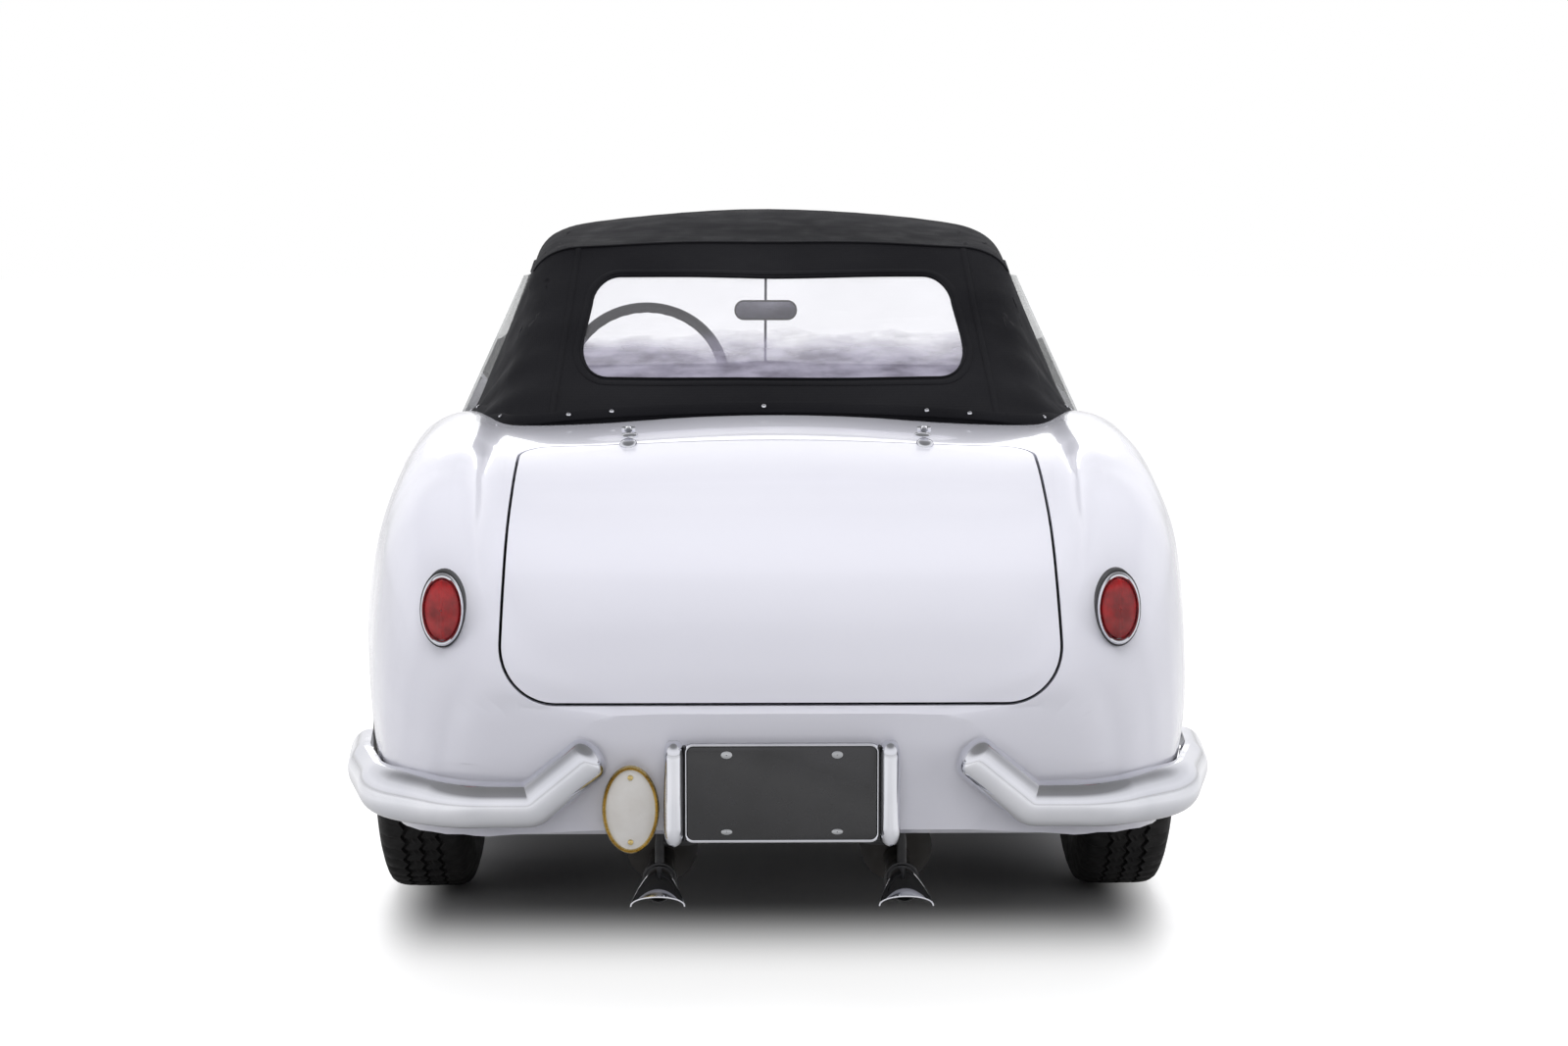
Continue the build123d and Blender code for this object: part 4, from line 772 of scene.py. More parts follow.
rows = np.linspace(-690, -1228, 40)
for side, label in ((1, "right"), (-1, "left")):
    line = []
    for y in rows:
        point, normal = hood_point(8.0 + 2.0 * (rows[0] - y) / 540, y, 0.4)
        line.append((point * (side, 1, 1), normal * (side, 1, 1)))
    strip("hood_seam_" + label, line, 11, 1.6, FINISH["canvas_black"])
bow_line = []
for column in np.linspace(-23, 23, 70):
    point, normal = hood_point(abs(column), -684, 0.4)
    sign = -1 if column < 0 else 1
    bow_line.append((point * (sign, 1, 1), normal * (sign, 1, 1)))
strip("hood_bow_seam", bow_line, 12, 1.8, FINISH["canvas_black"])
print("hood seams laid")

# %% Binding round the rear window
WINDOW_X, WINDOW_LOW, WINDOW_TOP, WINDOW_CORNER = 370, 975, 1165, 55


def window_outline(grow):
    x, z0, z1, r = WINDOW_X + grow, WINDOW_LOW - grow, WINDOW_TOP + grow, WINDOW_CORNER + grow
    corners = [(x - r, z0 + r, -90), (x - r - 14, z1 - r, 0),
               (-x + r + 14, z1 - r, 90), (-x + r, z0 + r, 180)]
    points = []
    for cx, cz, start in corners:
        points += [(cx + r * cos(radians(start + a)), cz + r * sin(radians(start + a)))
                   for a in range(0, 91, 10)]
    return points


def rear_curtain(x, z):
    """Point and normal on the rear of the hood behind a frontal position."""
    low, high = -1239.0, -690.0
    for _ in range(24):
        y = (low + high) / 2
        section = soft_section(fair_row(SOFT_ROWS, y, (-680, 230)))
        half = section[len(section) // 2:]
        height = np.interp(abs(x), half[:, 0], half[:, 1])
        low, high = (y, high) if height < z else (low, y)
    spot = np.array([x, y, z])
    normal = HOOD_FAIRING.find(Vector(spot / 1000), 0.05)[2]
    return spot + 1000 * np.array(cloth_move(spot / 1000, normal)), normal


def dense(outline, step=14):
    points = []
    for a, b in zip(outline, outline[1:] + outline[:1]):
        count = max(1, int(np.hypot(b[0] - a[0], b[1] - a[1]) / step))
        points += [(a[0] + (b[0] - a[0]) * k / count, a[1] + (b[1] - a[1]) * k / count) for k in range(count)]
    return points


for name, grow, width, height in (("window_binding", 7, 15, 1.8), ("window_piping", -1, 4, 3.2)):
    line = [rear_curtain(x, z) for x, z in dense(window_outline(grow))]
    strip(name, line, width, height, FINISH["canvas_black"], closed=True)
print("window bound")

# %% Hem and studs along the deck
def hem_crossing(y):
    """Where the hood's side meets the body at one row, found along the side."""
    hood_side = soft_section(fair_row(SOFT_ROWS, y, (-680, 230)))
    hood_side = hood_side[len(hood_side) // 2:]
    deck = body_section(fair_row(BODY_ROWS, y))
    deck = deck[len(deck) // 2:]
    for k in range(8, len(hood_side) - 1):
        for f in np.linspace(0, 1, 8):
            spot = hood_side[k] + (hood_side[k + 1] - hood_side[k]) * f
            if np.interp(spot[0], deck[:, 0], deck[:, 1]) > spot[1]:
                return spot
    return hood_side[-1]


side_line = [np.array([*np.insert(hem_crossing(y), 1, y)]) for y in np.linspace(-618, -1215, 34)]
last = soft_section(fair_row(SOFT_ROWS, -1238))
last = last[len(last) // 2:]
rear_line = [np.array([x, -1238, np.interp(x, last[:, 0], last[:, 1])]) for x in np.linspace(500, 0, 26)]
half_line = side_line + rear_line
for _ in range(14):
    half_line = [half_line[0]] + [(a + 2 * b + c) / 4 for a, b, c in
                                  zip(half_line, half_line[1:], half_line[2:])] + [half_line[-1]]
hem_line = half_line[:-1] + [p * (-1, 1, 1) for p in half_line[::-1]]
hem = []
for point in hem_line:
    found = BODY_FAIRING.find(Vector(point / 1000), 0.08)
    deck_normal = found[2]
    away = np.array([point[0] * 0.9, (point[1] + 700) * 1.0 if point[1] < -900 else 0.0, 0])
    away = away / np.linalg.norm(away)
    out = away - deck_normal * (away @ deck_normal)
    out = out / np.linalg.norm(out) + deck_normal * 0.9
    hem.append((point + deck_normal * 9, out / np.linalg.norm(out)))
strip("hood_hem", hem, 22, 2.6, FINISH["canvas_black"])
studs, faces = [], []
run = np.cumsum([0] + [np.linalg.norm(b[0] - a[0]) for a, b in zip(hem, hem[1:])])
STUD_SHARES = (0.06, 0.16, 0.26, 0.335, 0.365, 0.5, 0.635, 0.665, 0.74, 0.84, 0.94)
for share in STUD_SHARES:
    i = int(np.searchsorted(run, share * run[-1]))
    point, out = hem[i]
    along = hem[min(i + 1, len(hem) - 1)][0] - hem[i - 1][0]
    along /= np.linalg.norm(along)
    up = np.cross(out, along)
    base = len(studs)
    for high, radius in ((0, 4.2), (2.6, 4.2), (4.0, 2.8), (4.6, 0.4)):
        studs += [point + out * (high + 2) + (along * cos(a) + up * sin(a)) * radius
                  for a in np.linspace(0, 2 * pi, 12, endpoint=False)]
    faces += [tuple(base + v for v in quad) for quad in grid_faces(4, 12, False, True)]
mesh_piece("hood_studs", studs, faces, FINISH["chrome"])
print("hem with", len(STUD_SHARES), "studs")

# %% [markdown]
# ## Bumpers
# The rear bumper is in two halves. Each is a pressed channel that wraps the corner,
# runs in towards the plate, turns up with a hard crease and ends in a rounded
# horn. It is deepest at the corner and slimmer at the crease. A boxed model with a
# bevel never gives the right highlight, so a half-round section is swept along the
# line and its size changes on the way.

# %% Bumper helper
END_DOME = 26            # length of the rounded end of a bumper


def channel_section(depth, height, wall=4.0, count=24):
    """Half-round channel, open towards the body."""
    turns = np.linspace(-pi / 2, pi / 2, count)
    outer = [(depth * max(cos(t), 0.0) ** 0.9, height / 2 * sin(t)) for t in turns]
    inner = [((depth - wall) * max(cos(t), 0.0) ** 0.9, (height / 2 - wall) * sin(t))
             for t in turns[::-1]]
    return outer + inner


def bumper(name, corners, radii, heights, face, material, body="body"):
    """Half bumper along corners; heights pairs a share of the length with a height."""
    line = rounded_path(corners, radii, 4)
    run = np.cumsum([0] + [np.linalg.norm(b - a) for a, b in zip(line, line[1:])])
    outs = []
    for i, spot in enumerate(line):
        along = line[min(i + 1, len(line) - 1)] - line[max(i - 1, 0)]
        out = np.cross(along, (0, 0, 1))
        out[2] = 0
        out = out / np.linalg.norm(out)
        outs.append(out if out @ np.array([np.sign(spot[0]) * 0.6, face, 0]) > 0 else -out)
    length = run[-1]
    steps = [r for r in run if END_DOME < r < length - END_DOME]
    for low in (0, length - END_DOME):
        steps += list(np.linspace(low, low + END_DOME, 8))
    keep = sorted({round(float(r), 3) for r in steps})
    line, outs = np.array(line), np.array(outs)
    path = [np.array([np.interp(r, run, line[:, k]) for k in range(3)]) for r in keep]
    side = [np.array([np.interp(r, run, outs[:, k]) for k in range(3)]) for r in keep]
    grown = []
    for r in keep:
        edge = min(r, length - r)
        dome = sqrt(max(1 - (1 - min(edge / END_DOME, 1)) ** 2, 0.01))
        size = np.interp(r / length, [h[0] for h in heights], [h[1] for h in heights]) / 76
        grown.append((dome * (0.7 + 0.3 * size), size * dome))
    return sweep(name, path, side, channel_section(38, 76), material, body, sizes=grown, crease=72)


# %% Rear and front bumpers
REAR_CORNERS = [(712, -1555, 345), (695, -1740, 345), (648, -1945, 345), (514, -2066, 345),
                (398, -2066, 345), (290, -2066, 434)]
FRONT_CORNERS = [(720, 1805, 352), (704, 1900, 352), (655, 1990, 352), (515, 2073, 352),
                 (395, 2073, 352), (300, 2073, 430)]
for side, label in ((1, "right"), (-1, "left")):
    rear = bumper("rear_bumper_" + label, [(x * side, y, z) for x, y, z in REAR_CORNERS], [300, 150, 110, 22],
                  [(0, 80), (0.35, 84), (0.55, 88), (0.75, 74), (1, 74)], -1, FINISH["chrome"])
    front = bumper("front_bumper_" + label, [(x * side, y, z) for x, y, z in FRONT_CORNERS],
                   [200, 90, 100, 22], [(0, 70), (0.3, 78), (0.5, 84), (0.75, 66), (1, 60)], 1,
                   FINISH["chrome"])
    if side == 1:
        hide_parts("rear_bumpers")
        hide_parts("front_bumpers")


def iron(name, start, end, width, thick, material):
    """Flat bar between two points, upright on its edge, with rounded corners."""
    start, end = np.array(start, float), np.array(end, float)
    flat = [(width / 2 * a, thick / 2 * b) for a, b in
            ((-1, -0.7), (-0.9, -1), (0.9, -1), (1, -0.7), (1, 0.7), (0.9, 1), (-0.9, 1), (-1, 0.7))]
    out = np.cross(end - start, (0, 0, 1))
    return sweep(name, [start, (start + end) / 2, end], [out] * 3, flat, material)


for side, label in ((1, "right"), (-1, "left")):
    for name, start, end in (("rear_iron", (480, -2100, 345), (480, -2016, 345)),
                             ("rear_side_iron", (727, -1730, 345), (640, -1730, 345)),
                             ("front_iron", (480, 2105, 352), (480, 1985, 352))):
        bar = iron(name + "_" + label, [start[0] * side, *start[1:]], [end[0] * side, *end[1:]], 40, 10,
                   FINISH["frame_black"])
print("bumpers swept")

# %% [markdown]
# ## Plate, guards and the oval plaque
# The number plate sits in a bright frame between two upright guards, each a
# half-round bar with domed ends and a rubber edge. Beside it hangs a small oval
# plaque: white enamel in a gilt rim with a double ridge. Both are blank.

# %% Plate frame, bolts and guards
PLATE_Z = 366


def rounded_box(width, height, radius, y, z, count=8):
    points = []
    for sx, sz, start in ((1, -1, -90), (1, 1, 0), (-1, 1, 90), (-1, -1, 180)):
        cx, cz = sx * (width / 2 - radius), z + sz * (height / 2 - radius)
        points += [(cx + radius * cos(radians(start + a)), y, cz + radius * sin(radians(start + a)))
                   for a in np.linspace(0, 90, count)]
    return points


def outwards_from(points, centre):
    return [np.array(p, float) - np.array(centre, float) for p in points]


plate_loops = [(300, 147, 10, -2089), (303, 150, 11.5, -2088.4),
               (305, 152, 12, -2086.5), (305, 152, 12, -2080)]
plate_points = [p for w, h, r, y in plate_loops for p in rounded_box(w, h, r, y, PLATE_Z)]
plate_faces = grid_faces(4, 32, False, True) + [tuple(range(32)), tuple(range(96, 128))[::-1]]
plate = mesh_piece("blank_number_plate", plate_points, plate_faces, FINISH["plate_black"])
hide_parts("number_plate")
loop = rounded_box(308, 155, 13, -2086, PLATE_Z)
sweep("plate_frame", loop, outwards_from(loop, (0, -2086, PLATE_Z)), ring_section(2.6, 8),
              FINISH["chrome"], closed=True)
bolts, faces = [], []
for x, z, wide, high in ((-88, 428, 9, 6), (88, 428, 9, 6), (-88, 304, 9, 4.5), (88, 304, 9, 4.5)):
    base = len(bolts)
    for out, share in ((0, 1.0), (1.6, 1.0), (2.8, 0.72), (3.2, 0.1)):
        bolts += [(x + wide * share * cos(a), -2089 - out, z + high * share * sin(a))
                  for a in np.linspace(0, 2 * pi, 16, endpoint=False)]
    faces += [tuple(base + v for v in quad) for quad in grid_faces(4, 16, False, True)]
mesh_piece("plate_bolts", bolts, faces, FINISH["wheel_silver"])


def guard_section(width, depth):
    """Rounded D: flat back, full front."""
    turns = np.linspace(0, pi, 13)
    front = [(depth * sin(t) ** 0.7 if sin(t) > 0 else 0.0, width / 2 * cos(t)) for t in turns]
    return front + [(-14, -width / 2), (-14, width / 2)]


for side, label in ((1, "right"), (-1, "left")):
    heights = [282, 284, 288, 294, 302] + list(range(312, 424, 12)) + [429, 437, 443, 447, 449]
    swell = [0.32, 0.55, 0.78, 0.92, 1.0] + [1.0] * 10 + [1.0, 0.92, 0.78, 0.55, 0.32]
    swell = swell[:len(heights)]
    line = [(172 * side, -2080, z) for z in heights]
    guard = sweep("guard_" + label, line, [(0, -1, 0)] * len(line), guard_section(33, 30), FINISH["chrome"],
                  sizes=[(0.5 + 0.5 * s, s) for s in swell], crease=60)
    line = [(155.6 * side, -2082, z) for z in np.linspace(290, 441, 12)]
    rubber = sweep("guard_rubber_" + label, line, [(0, -1, 0)] * 12, [(a * 1.6, b * 0.42) for a, b in
                   ring_section(7, 8)], FINISH["trim_black"])
    if side == 1:
        carrier_loops = [rounded_box(311, 158, 14, y, PLATE_Z) for y in (-2080, -2076)]
        carrier = mesh_piece("plate_carrier", carrier_loops[0] + carrier_loops[1],
                             grid_faces(2, 32, False, True) + [tuple(range(32)), tuple(range(32, 64))[::-1]],
                             FINISH["frame_black"])
        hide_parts("plate_holder")
    for height in (330, 400):
        stay = iron("guard_stay_%s_%d" % (label, height), (172 * side, -2070, height),
                    (172 * side, -2046, height), 22, 18, FINISH["frame_black"])
    stay = iron("plate_stay_" + label, (105 * side, -2077, 366), (105 * side, -2046, 366), 30, 36,
                FINISH["frame_black"])
print("plate and guards made")

# %% Oval plaque
PLAQUE = (-241, -2080, 339)
rim_loops, field_loops = [], []
for wide, high, y in ((78, 128, -2083), (81, 131, -2086.5), (84, 134, -2084.5), (87, 137, -2087),
                      (91, 141, -2083), (91, 141, -2076)):
    rim_loops += ellipse((PLAQUE[0], y, PLAQUE[2]), wide, high)
rim = mesh_piece("plaque_rim", rim_loops, grid_faces(6, 64, False, True) + [tuple(range(320, 384))],
                 FINISH["gilt"], crease=70)
for wide, high, y in ((0.5, 0.8, -2086.4), (22, 38, -2086.2), (44, 76, -2085.6), (64, 108, -2084.6),
                      (80, 130, -2083.0)):
    field_loops += ellipse((PLAQUE[0], y, PLAQUE[2]), wide, high)
field = mesh_piece("plaque_field", field_loops, grid_faces(5, 64, False, True), FINISH["enamel_white"])
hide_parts("oval_plaque")
screws, faces = [], []
for z in (PLAQUE[2] + 52, PLAQUE[2] - 52):
    base = len(screws)
    for out, radius in ((0, 4.6), (1.2, 4.4), (2.4, 2.6), (2.6, 0.3)):
        screws += [(PLAQUE[0] + radius * cos(a), -2085 - out, z + radius * sin(a))
                   for a in np.linspace(0, 2 * pi, 14, endpoint=False)]
    faces += [tuple(base + v for v in quad) for quad in grid_faces(4, 14, False, True)]
mesh_piece("plaque_screws", screws, faces, FINISH["gilt"])
stay = iron("plaque_stay", (PLAQUE[0], -2077, 346), (PLAQUE[0], -2046, 352), 20, 22, FINISH["frame_black"])
print("plaque made")

# %% [markdown]
# ## Tail lamps
# Each lamp is a red oval lens in a chrome rim on a black gasket. The lens has a
# domed face with a moulded rib down its middle, so it is built from shrinking
# ovals and lifted along the rib.

# %% Tail lamps
LAMP_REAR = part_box("tail_lamps")[0][1] * 1000
for side, label in ((1, "right"), (-1, "left")):
    x, z = 545 * side, 650

    def oval(share, out, wide=66, high=112):
        """Loop of the lamp; its plane leans with the wing behind it."""
        return [(px, LAMP_REAR - out + 0.10 * (pz - z), pz)
                for px, _, pz in ellipse((x, 0, z), wide * share, high * share, 48)]

    gasket = [p for share, out in ((1.10, -34), (1.10, 1.5), (1.07, 3.5), (1.00, 4.0))
              for p in oval(share, out)]
    piece = mesh_piece("tail_gasket_" + label, gasket, grid_faces(4, 48, False, True), FINISH["trim_black"])
    ring = [p for share, out in ((1.045, 0), (1.045, 6), (1.01, 11), (0.96, 12.5), (0.90, 10), (0.86, 4))
            for p in oval(share, out)]
    piece = mesh_piece("tail_rim_" + label, ring, grid_faces(6, 48, False, True), FINISH["chrome"], crease=70)
    face = []
    for share, out in ((0.87, 5), (0.85, 9), (0.78, 12.5), (0.66, 15), (0.5, 17), (0.34, 18), (0.18, 18.6),
                       (0.02, 18.8)):
        for px, py, pz in oval(share, out):
            rib = 3.2 * np.exp(-((px - x) / 3.4) ** 2)
            face.append((px, py - rib, pz))
    piece = mesh_piece("tail_lens_" + label, face, grid_faces(8, 48, False, True), FINISH["red_lens"],
                       crease=70)
    if side == 1:
        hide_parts("tail_lamps")
print("tail lamps at", LAMP_REAR)

# %% [markdown]
# ## Exhaust deflectors
# Twin pipes end under bright deflectors: a half round clasps the pipe, then fans out
# and droops over its mouth, so that soot stays off the tail. From behind they look
# like small bells, with the dark pipe below the lip.

# %% Exhaust deflectors and hangers
def fan_row(y, z, half_width, height, side, thin):
    """Arch over the pipe, from its left foot over the top to its right foot."""
    return [(198 * side + (half_width - thin) * cos(a), y, z + (height - thin) * max(sin(a), 0.0) ** 0.9)
            for a in np.linspace(pi, 0, 25)]


FAN_ROWS = [(-1960, 200, 24.5, 24.5), (-1990, 200, 24.5, 24.5), (-2010, 200, 25.5, 25.4),
            (-2030, 198, 29, 27), (-2050, 196, 33, 27.2), (-2070, 193, 37.5, 25), (-2088, 190, 41, 21),
            (-2098, 188, 43, 18.2), (-2103, 186.5, 44, 16.6)]
for side, label in ((1, "right"), (-1, "left")):
    rows = [fan_row(*row, side, 0) for row in FAN_ROWS] + [fan_row(*row, side, 2.2) for row in FAN_ROWS[::-1]]
    points = [p for row in rows for p in row]
    fan = mesh_piece("exhaust_deflector_" + label, points, grid_faces(len(rows), 25, close_rows=True),
                     FINISH["chrome"], crease=50)
    if side == 1:
        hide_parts("exhaust_tips")
    mouth = [(-2039, 21.8), (-2041.5, 21.6), (-2041.5, 19.6), (-2020, 19.0), (-1990, 18.5), (-1990, 0.5)]
    pipe_end = spin("pipe_mouth_" + label, mouth, (198 * side, 0, 200), FINISH["radiator_black"], axis="Y",
                    steps=40)
    clamp = spin("pipe_clamp_" + label, [(-1972, 25.5), (-1972, 28.5), (-1956, 28.5), (-1956, 25.5)],
                 (198 * side, 0, 200), FINISH["frame_black"], axis="Y", steps=40)
    for name, line, radius in (
            ("tail_hanger_", [(198, -1964, 226), (198, -1966, 262), (194, -1972, 292)], 8),
            ("hanger_arm_", [(192, -1964, 262), (150, -1964, 263), (128, -1966, 268)], 7),
            ("hanger_spring_", [(128, -1966, 268), (118, -1962, 284), (112, -1958, 300)], 5)):
        rod = sweep(name + label, [(x * side, y, z) for x, y, z in line], [(0, -1, 0.2)] * 3,
                    ring_section(radius, 10), FINISH["trim_black"])
print("deflectors made")

# %% [markdown]
# ## Tyres
# A radial road tyre of the period has three zigzag grooves round its tread and
# short cuts across the ribs. Carving them with booleans would take millions of
# faces, so the tread is a grid whose columns follow the zigzag and drop into each
# groove. Every fourth step round, the ribs drop a little: those are the cuts.

# %% Tyre helper
def tyre_columns():
    """(across, radius, share of zigzag, cut depth) from one bead to the other."""
    wall = [(60, 190.5, 0, 0), (66, 196, 0, 0), (72, 204, 0, 0), (78, 218, 0, 0), (83, 236, 0, 0),
            (85.6, 256, 0, 0), (85.8, 270, 0, 0), (84, 286, 0, 0), (82, 289, 0, 0), (80, 300, 0, 0),
            (76, 310, 0, 3), (72, 316.5, 0, 5), (66, 321, 0, 6), (60, 323.6, 0, 6), (52, 325.2, 0.2, 6),
            (45, 326, 0.6, 4)]
    tread = []
    for centre in (32, 0, -32):
        crown = 326.9 - abs(centre) * 0.016
        tread += [(centre + 5.5, crown, 1, 2.0), (centre + 4.2, crown, 1, 0),
                  (centre + 2.6, crown - 7.5, 1, 0), (centre - 2.6, crown - 7.5, 1, 0),
                  (centre - 4.2, crown, 1, 0), (centre - 5.5, crown, 1, 2.0)]
        if centre > -32:
            tread += [(centre - 11, crown, 1, 4.0), (centre - 16, crown, 1, 0.0),
                      (centre - 21, crown, 1, 4.0)]
    return [(a, r, s, c) for a, r, s, c in wall] + tread + [(-a, r, s, c) for a, r, s, c in wall[::-1]]


def tyre_mesh():
    steps, columns, points = 240, tyre_columns(), []
    zigzag = (0, 4.2, 0, -4.2)
    for i in range(steps):
        turn = 2 * pi * i / steps
        for across, radius, share, cut in columns:
            r = radius - (cut if i % 4 == 0 else 0)
            x = across + zigzag[i % 4] * share
            points.append((x, r * cos(turn), r * sin(turn)))
    return points, grid_faces(steps, len(columns), close_rows=True)


TYRE_POINTS, TYRE_FACES = tyre_mesh()
AXLES = {"front": 1375, "rear": -1075}
for end, axle_y in AXLES.items():
    for side, label in ((1, "right"), (-1, "left")):
        place = (652 * side, axle_y, 327)
        moved = [(px + place[0], py + place[1], pz + place[2]) for px, py, pz in TYRE_POINTS]
        tyre = mesh_piece("road_tyre_%s_%s" % (end, label), moved, TYRE_FACES, FINISH["tyre"],
                          "wheel_%s_%s" % (end, label), crease=32)
        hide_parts("tyre_%s_%s" % (end, label))
print("tyre faces", len(TYRE_FACES))

# %% [markdown]
# ## Wheels
# The wheels are pressed steel, painted silver, with a plain domed chrome cap over
# the hub and a bright ring on the rim edge. The frame's wheel has its disc, vent
# holes and drum, so only the bright parts are added.

# %% Caps and rim rings
for end, axle_y in AXLES.items():
    for side, label in ((1, "right"), (-1, "left")):
        place, body = (652 * side, axle_y, 327), "wheel_%s_%s" % (end, label)
        cap = [(44, 113), (49, 112), (53, 104), (56, 96), (58, 84), (64, 66), (68, 44), (70.5, 20), (71, 1)]
        piece = spin("hub_cap_%s_%s" % (end, label), [(a * side, r) for a, r in cap], place, FINISH["chrome"],
                     body, 72)
        ring = [(66, 186), (70, 190), (73.4, 196), (73.8, 201), (72, 203), (70, 200), (66, 192)]
        piece = spin("rim_ring_%s_%s" % (end, label), [(a * side, r) for a, r in ring], place,
                     FINISH["chrome"], body, 96)
print("wheels dressed")

# %% [markdown]
# ## Seats
# Each seat is a sprung cushion and a backrest in grained vinyl with sewn flutes.
# Stuffed covers bulge between their seams, so the pads start as bevelled blocks a
# little too small, and a cloth simulation with air pressure swells them. Only half
# is simulated: the other seat is its mirror image. The seams come after, because a
# remesh would erase them.

# %% Stuffed pads
def block(corners, width):
    """Rounded closed block from eight corners in millimetres."""
    bm = bmesh.new()
    verts = [bm.verts.new([c / 1000 for c in corner]) for corner in corners]
    for quad in ((0, 1, 2, 3), (7, 6, 5, 4), (0, 4, 5, 1), (1, 5, 6, 2), (2, 6, 7, 3), (3, 7, 4, 0)):
        bm.faces.new([verts[i] for i in quad])
    bmesh.ops.recalc_face_normals(bm, faces=bm.faces)
    bmesh.ops.bevel(bm, geom=bm.edges[:], offset=width / 1000, segments=4, profile=0.5, affect="EDGES")
    mesh = bpy.data.meshes.new("block")
    bm.to_mesh(mesh)
    bm.free()
    return mesh


def baked(piece):
    """Mesh of a piece with its modifiers applied."""
    ready = piece.evaluated_get(bpy.context.evaluated_depsgraph_get())
    return bpy.data.meshes.new_from_object(ready)


def stuffed(name, mesh, cap, voxel=0.007):
    """Remeshes a block and swells it with cloth; no point moves more than cap."""
    piece = bpy.data.objects.new(name, mesh)
    bpy.context.scene.collection.objects.link(piece)
    remesh = piece.modifiers.new("even", "REMESH")
    remesh.mode = "VOXEL"
    remesh.voxel_size = voxel
    piece.data = baked(piece)
    piece.modifiers.clear()
    start = np.array([v.co for v in piece.data.vertices])
    cloth = piece.modifiers.new("stuffing", "CLOTH").settings
    cloth.quality = 5
    cloth.use_pressure = True
    cloth.uniform_pressure_force = 4
    cloth.effector_weights.gravity = 0
    for frame_number in range(1, 21):
        bpy.context.scene.frame_set(frame_number)
    swollen = np.array([v.co for v in baked(piece).vertices])
    piece.modifiers.clear()
    bpy.context.scene.frame_set(1)
    move = swollen - start
    size = np.linalg.norm(move, axis=1)
    start = start + move * np.minimum(1, cap / 1000 / np.maximum(size, 1e-9))[:, None]
    fine = piece.modifiers.new("fine", "SUBSURF")
    fine.levels = fine.render_levels = 1
    for vert, spot in zip(piece.data.vertices, start):
        vert.co = spot
    piece.data = baked(piece)
    piece.modifiers.clear()
    return piece


def box_corners(low, high, x0, x1):
    """Corners from two (y, z) pairs below and above, front first."""
    (yf0, zf0), (yr0, zr0) = low
    (yf1, zf1), (yr1, zr1) = high
    return [(x0, yf0, zf0), (x1, yf0, zf0), (x1, yr0, zr0), (x0, yr0, zr0),
            (x0, yf1, zf1), (x1, yf1, zf1), (x1, yr1, zr1), (x0, yr1, zr1)]


PADS = (("seat_cushion", [(50, 312), (-420, 312)], [(46, 424), (-398, 418)], 34, 14, 2),
        ("seat_backrest", [(-424, 335), (-534, 335)], [(-528, 862), (-586, 860)], 32, 12, 1))
for name, low, high, bevel, cap, up_axis in PADS:
    pad = stuffed(name + "_right", block(box_corners(low, high, 167, 563), bevel), cap)
    mesh = pad.data
    count = len(mesh.vertices)
    spots, normals = np.empty(count * 3, np.float32), np.empty(count * 3, np.float32)
    mesh.vertices.foreach_get("co", spots)
    mesh.vertices.foreach_get("normal", normals)
    spots, normals = spots.reshape(-1, 3).astype(float), normals.reshape(-1, 3).astype(float)
    x, along = spots[:, 0] * 1000, spots[:, 1 if up_axis == 2 else 2] * 1000
    faces_sitter = np.maximum(normals[:, up_axis], 0)
    ends = (-378, 8) if up_axis == 2 else (394, 818)
    inside = (ends[0] < along) & (along < ends[1]) & (212 < x) & (x < 518)
    seams = np.max([np.exp(-((x - seam) / 4.5) ** 2) for seam in range(221, 515, 36)], axis=0)
    border = np.minimum(np.minimum(abs(x - 212), abs(x - 518)),
                        np.minimum(abs(along - ends[0]), abs(along - ends[1])))
    near = (ends[0] - 8 < along) & (along < ends[1] + 8) & (204 < x) & (x < 526)
    groove = np.maximum(4.2 * seams * inside, 3.4 * np.exp(-(border / 4.0) ** 2) * near)
    spots -= normals * (groove * faces_sitter ** 2 / 1000)[:, None]
    mesh.vertices.foreach_set("co", spots.astype(np.float32).ravel())
    mesh.update()
    for face in mesh.polygons:
        face.use_smooth = True
    mesh.materials.clear()
    mesh.materials.append(FINISH["seat_black"])
    twin_mesh = mesh.copy()
    twin_mesh.transform(((-1, 0, 0, 0), (0, 1, 0, 0), (0, 0, 1, 0), (0, 0, 0, 1)))
    twin_mesh.flip_normals()
    twin = bpy.data.objects.new(name + "_left", twin_mesh)
    bpy.context.scene.collection.objects.link(twin)
    for piece in (pad, twin):
        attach(piece, "body")
    if name == "seat_cushion":
        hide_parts("seats")
    print(name, len(mesh.polygons), "faces")

# %% Piping round the pads
for side, label in ((1, "right"), (-1, "left")):
    for name, corners, out in (
            ("cushion_piping_", [(172, 38, 432), (558, 38, 432), (558, -390, 428),
                                 (172, -390, 428)], (0, 0, 1)),
            ("backrest_piping_", [(172, -434, 345), (558, -434, 345), (558, -530, 858),
                                  (172, -530, 858)], (0, 1, 0))):
        loop = rounded_path([(x * side, y, z) for x, y, z in
                             [[(a + b) / 2 for a, b in zip(corners[0], corners[3])]] + corners
                             + [[(a + b) / 2 for a, b in zip(corners[0], corners[3])]]], [34] * 4, 10)[:-1]
        piping = sweep(name + label, loop, [out] * len(loop), ring_section(3.2, 8), FINISH["seat_black"],
                       closed=True)
print("seats piped")

# %% [markdown]
# ## Steering wheel
# A thin black rim with finger waves on its far side, sprung on three groups of
# bright rods, and a domed button on the boss. The wheel leans with its column, so
# its points are written in the rim's own plane and turned into place.

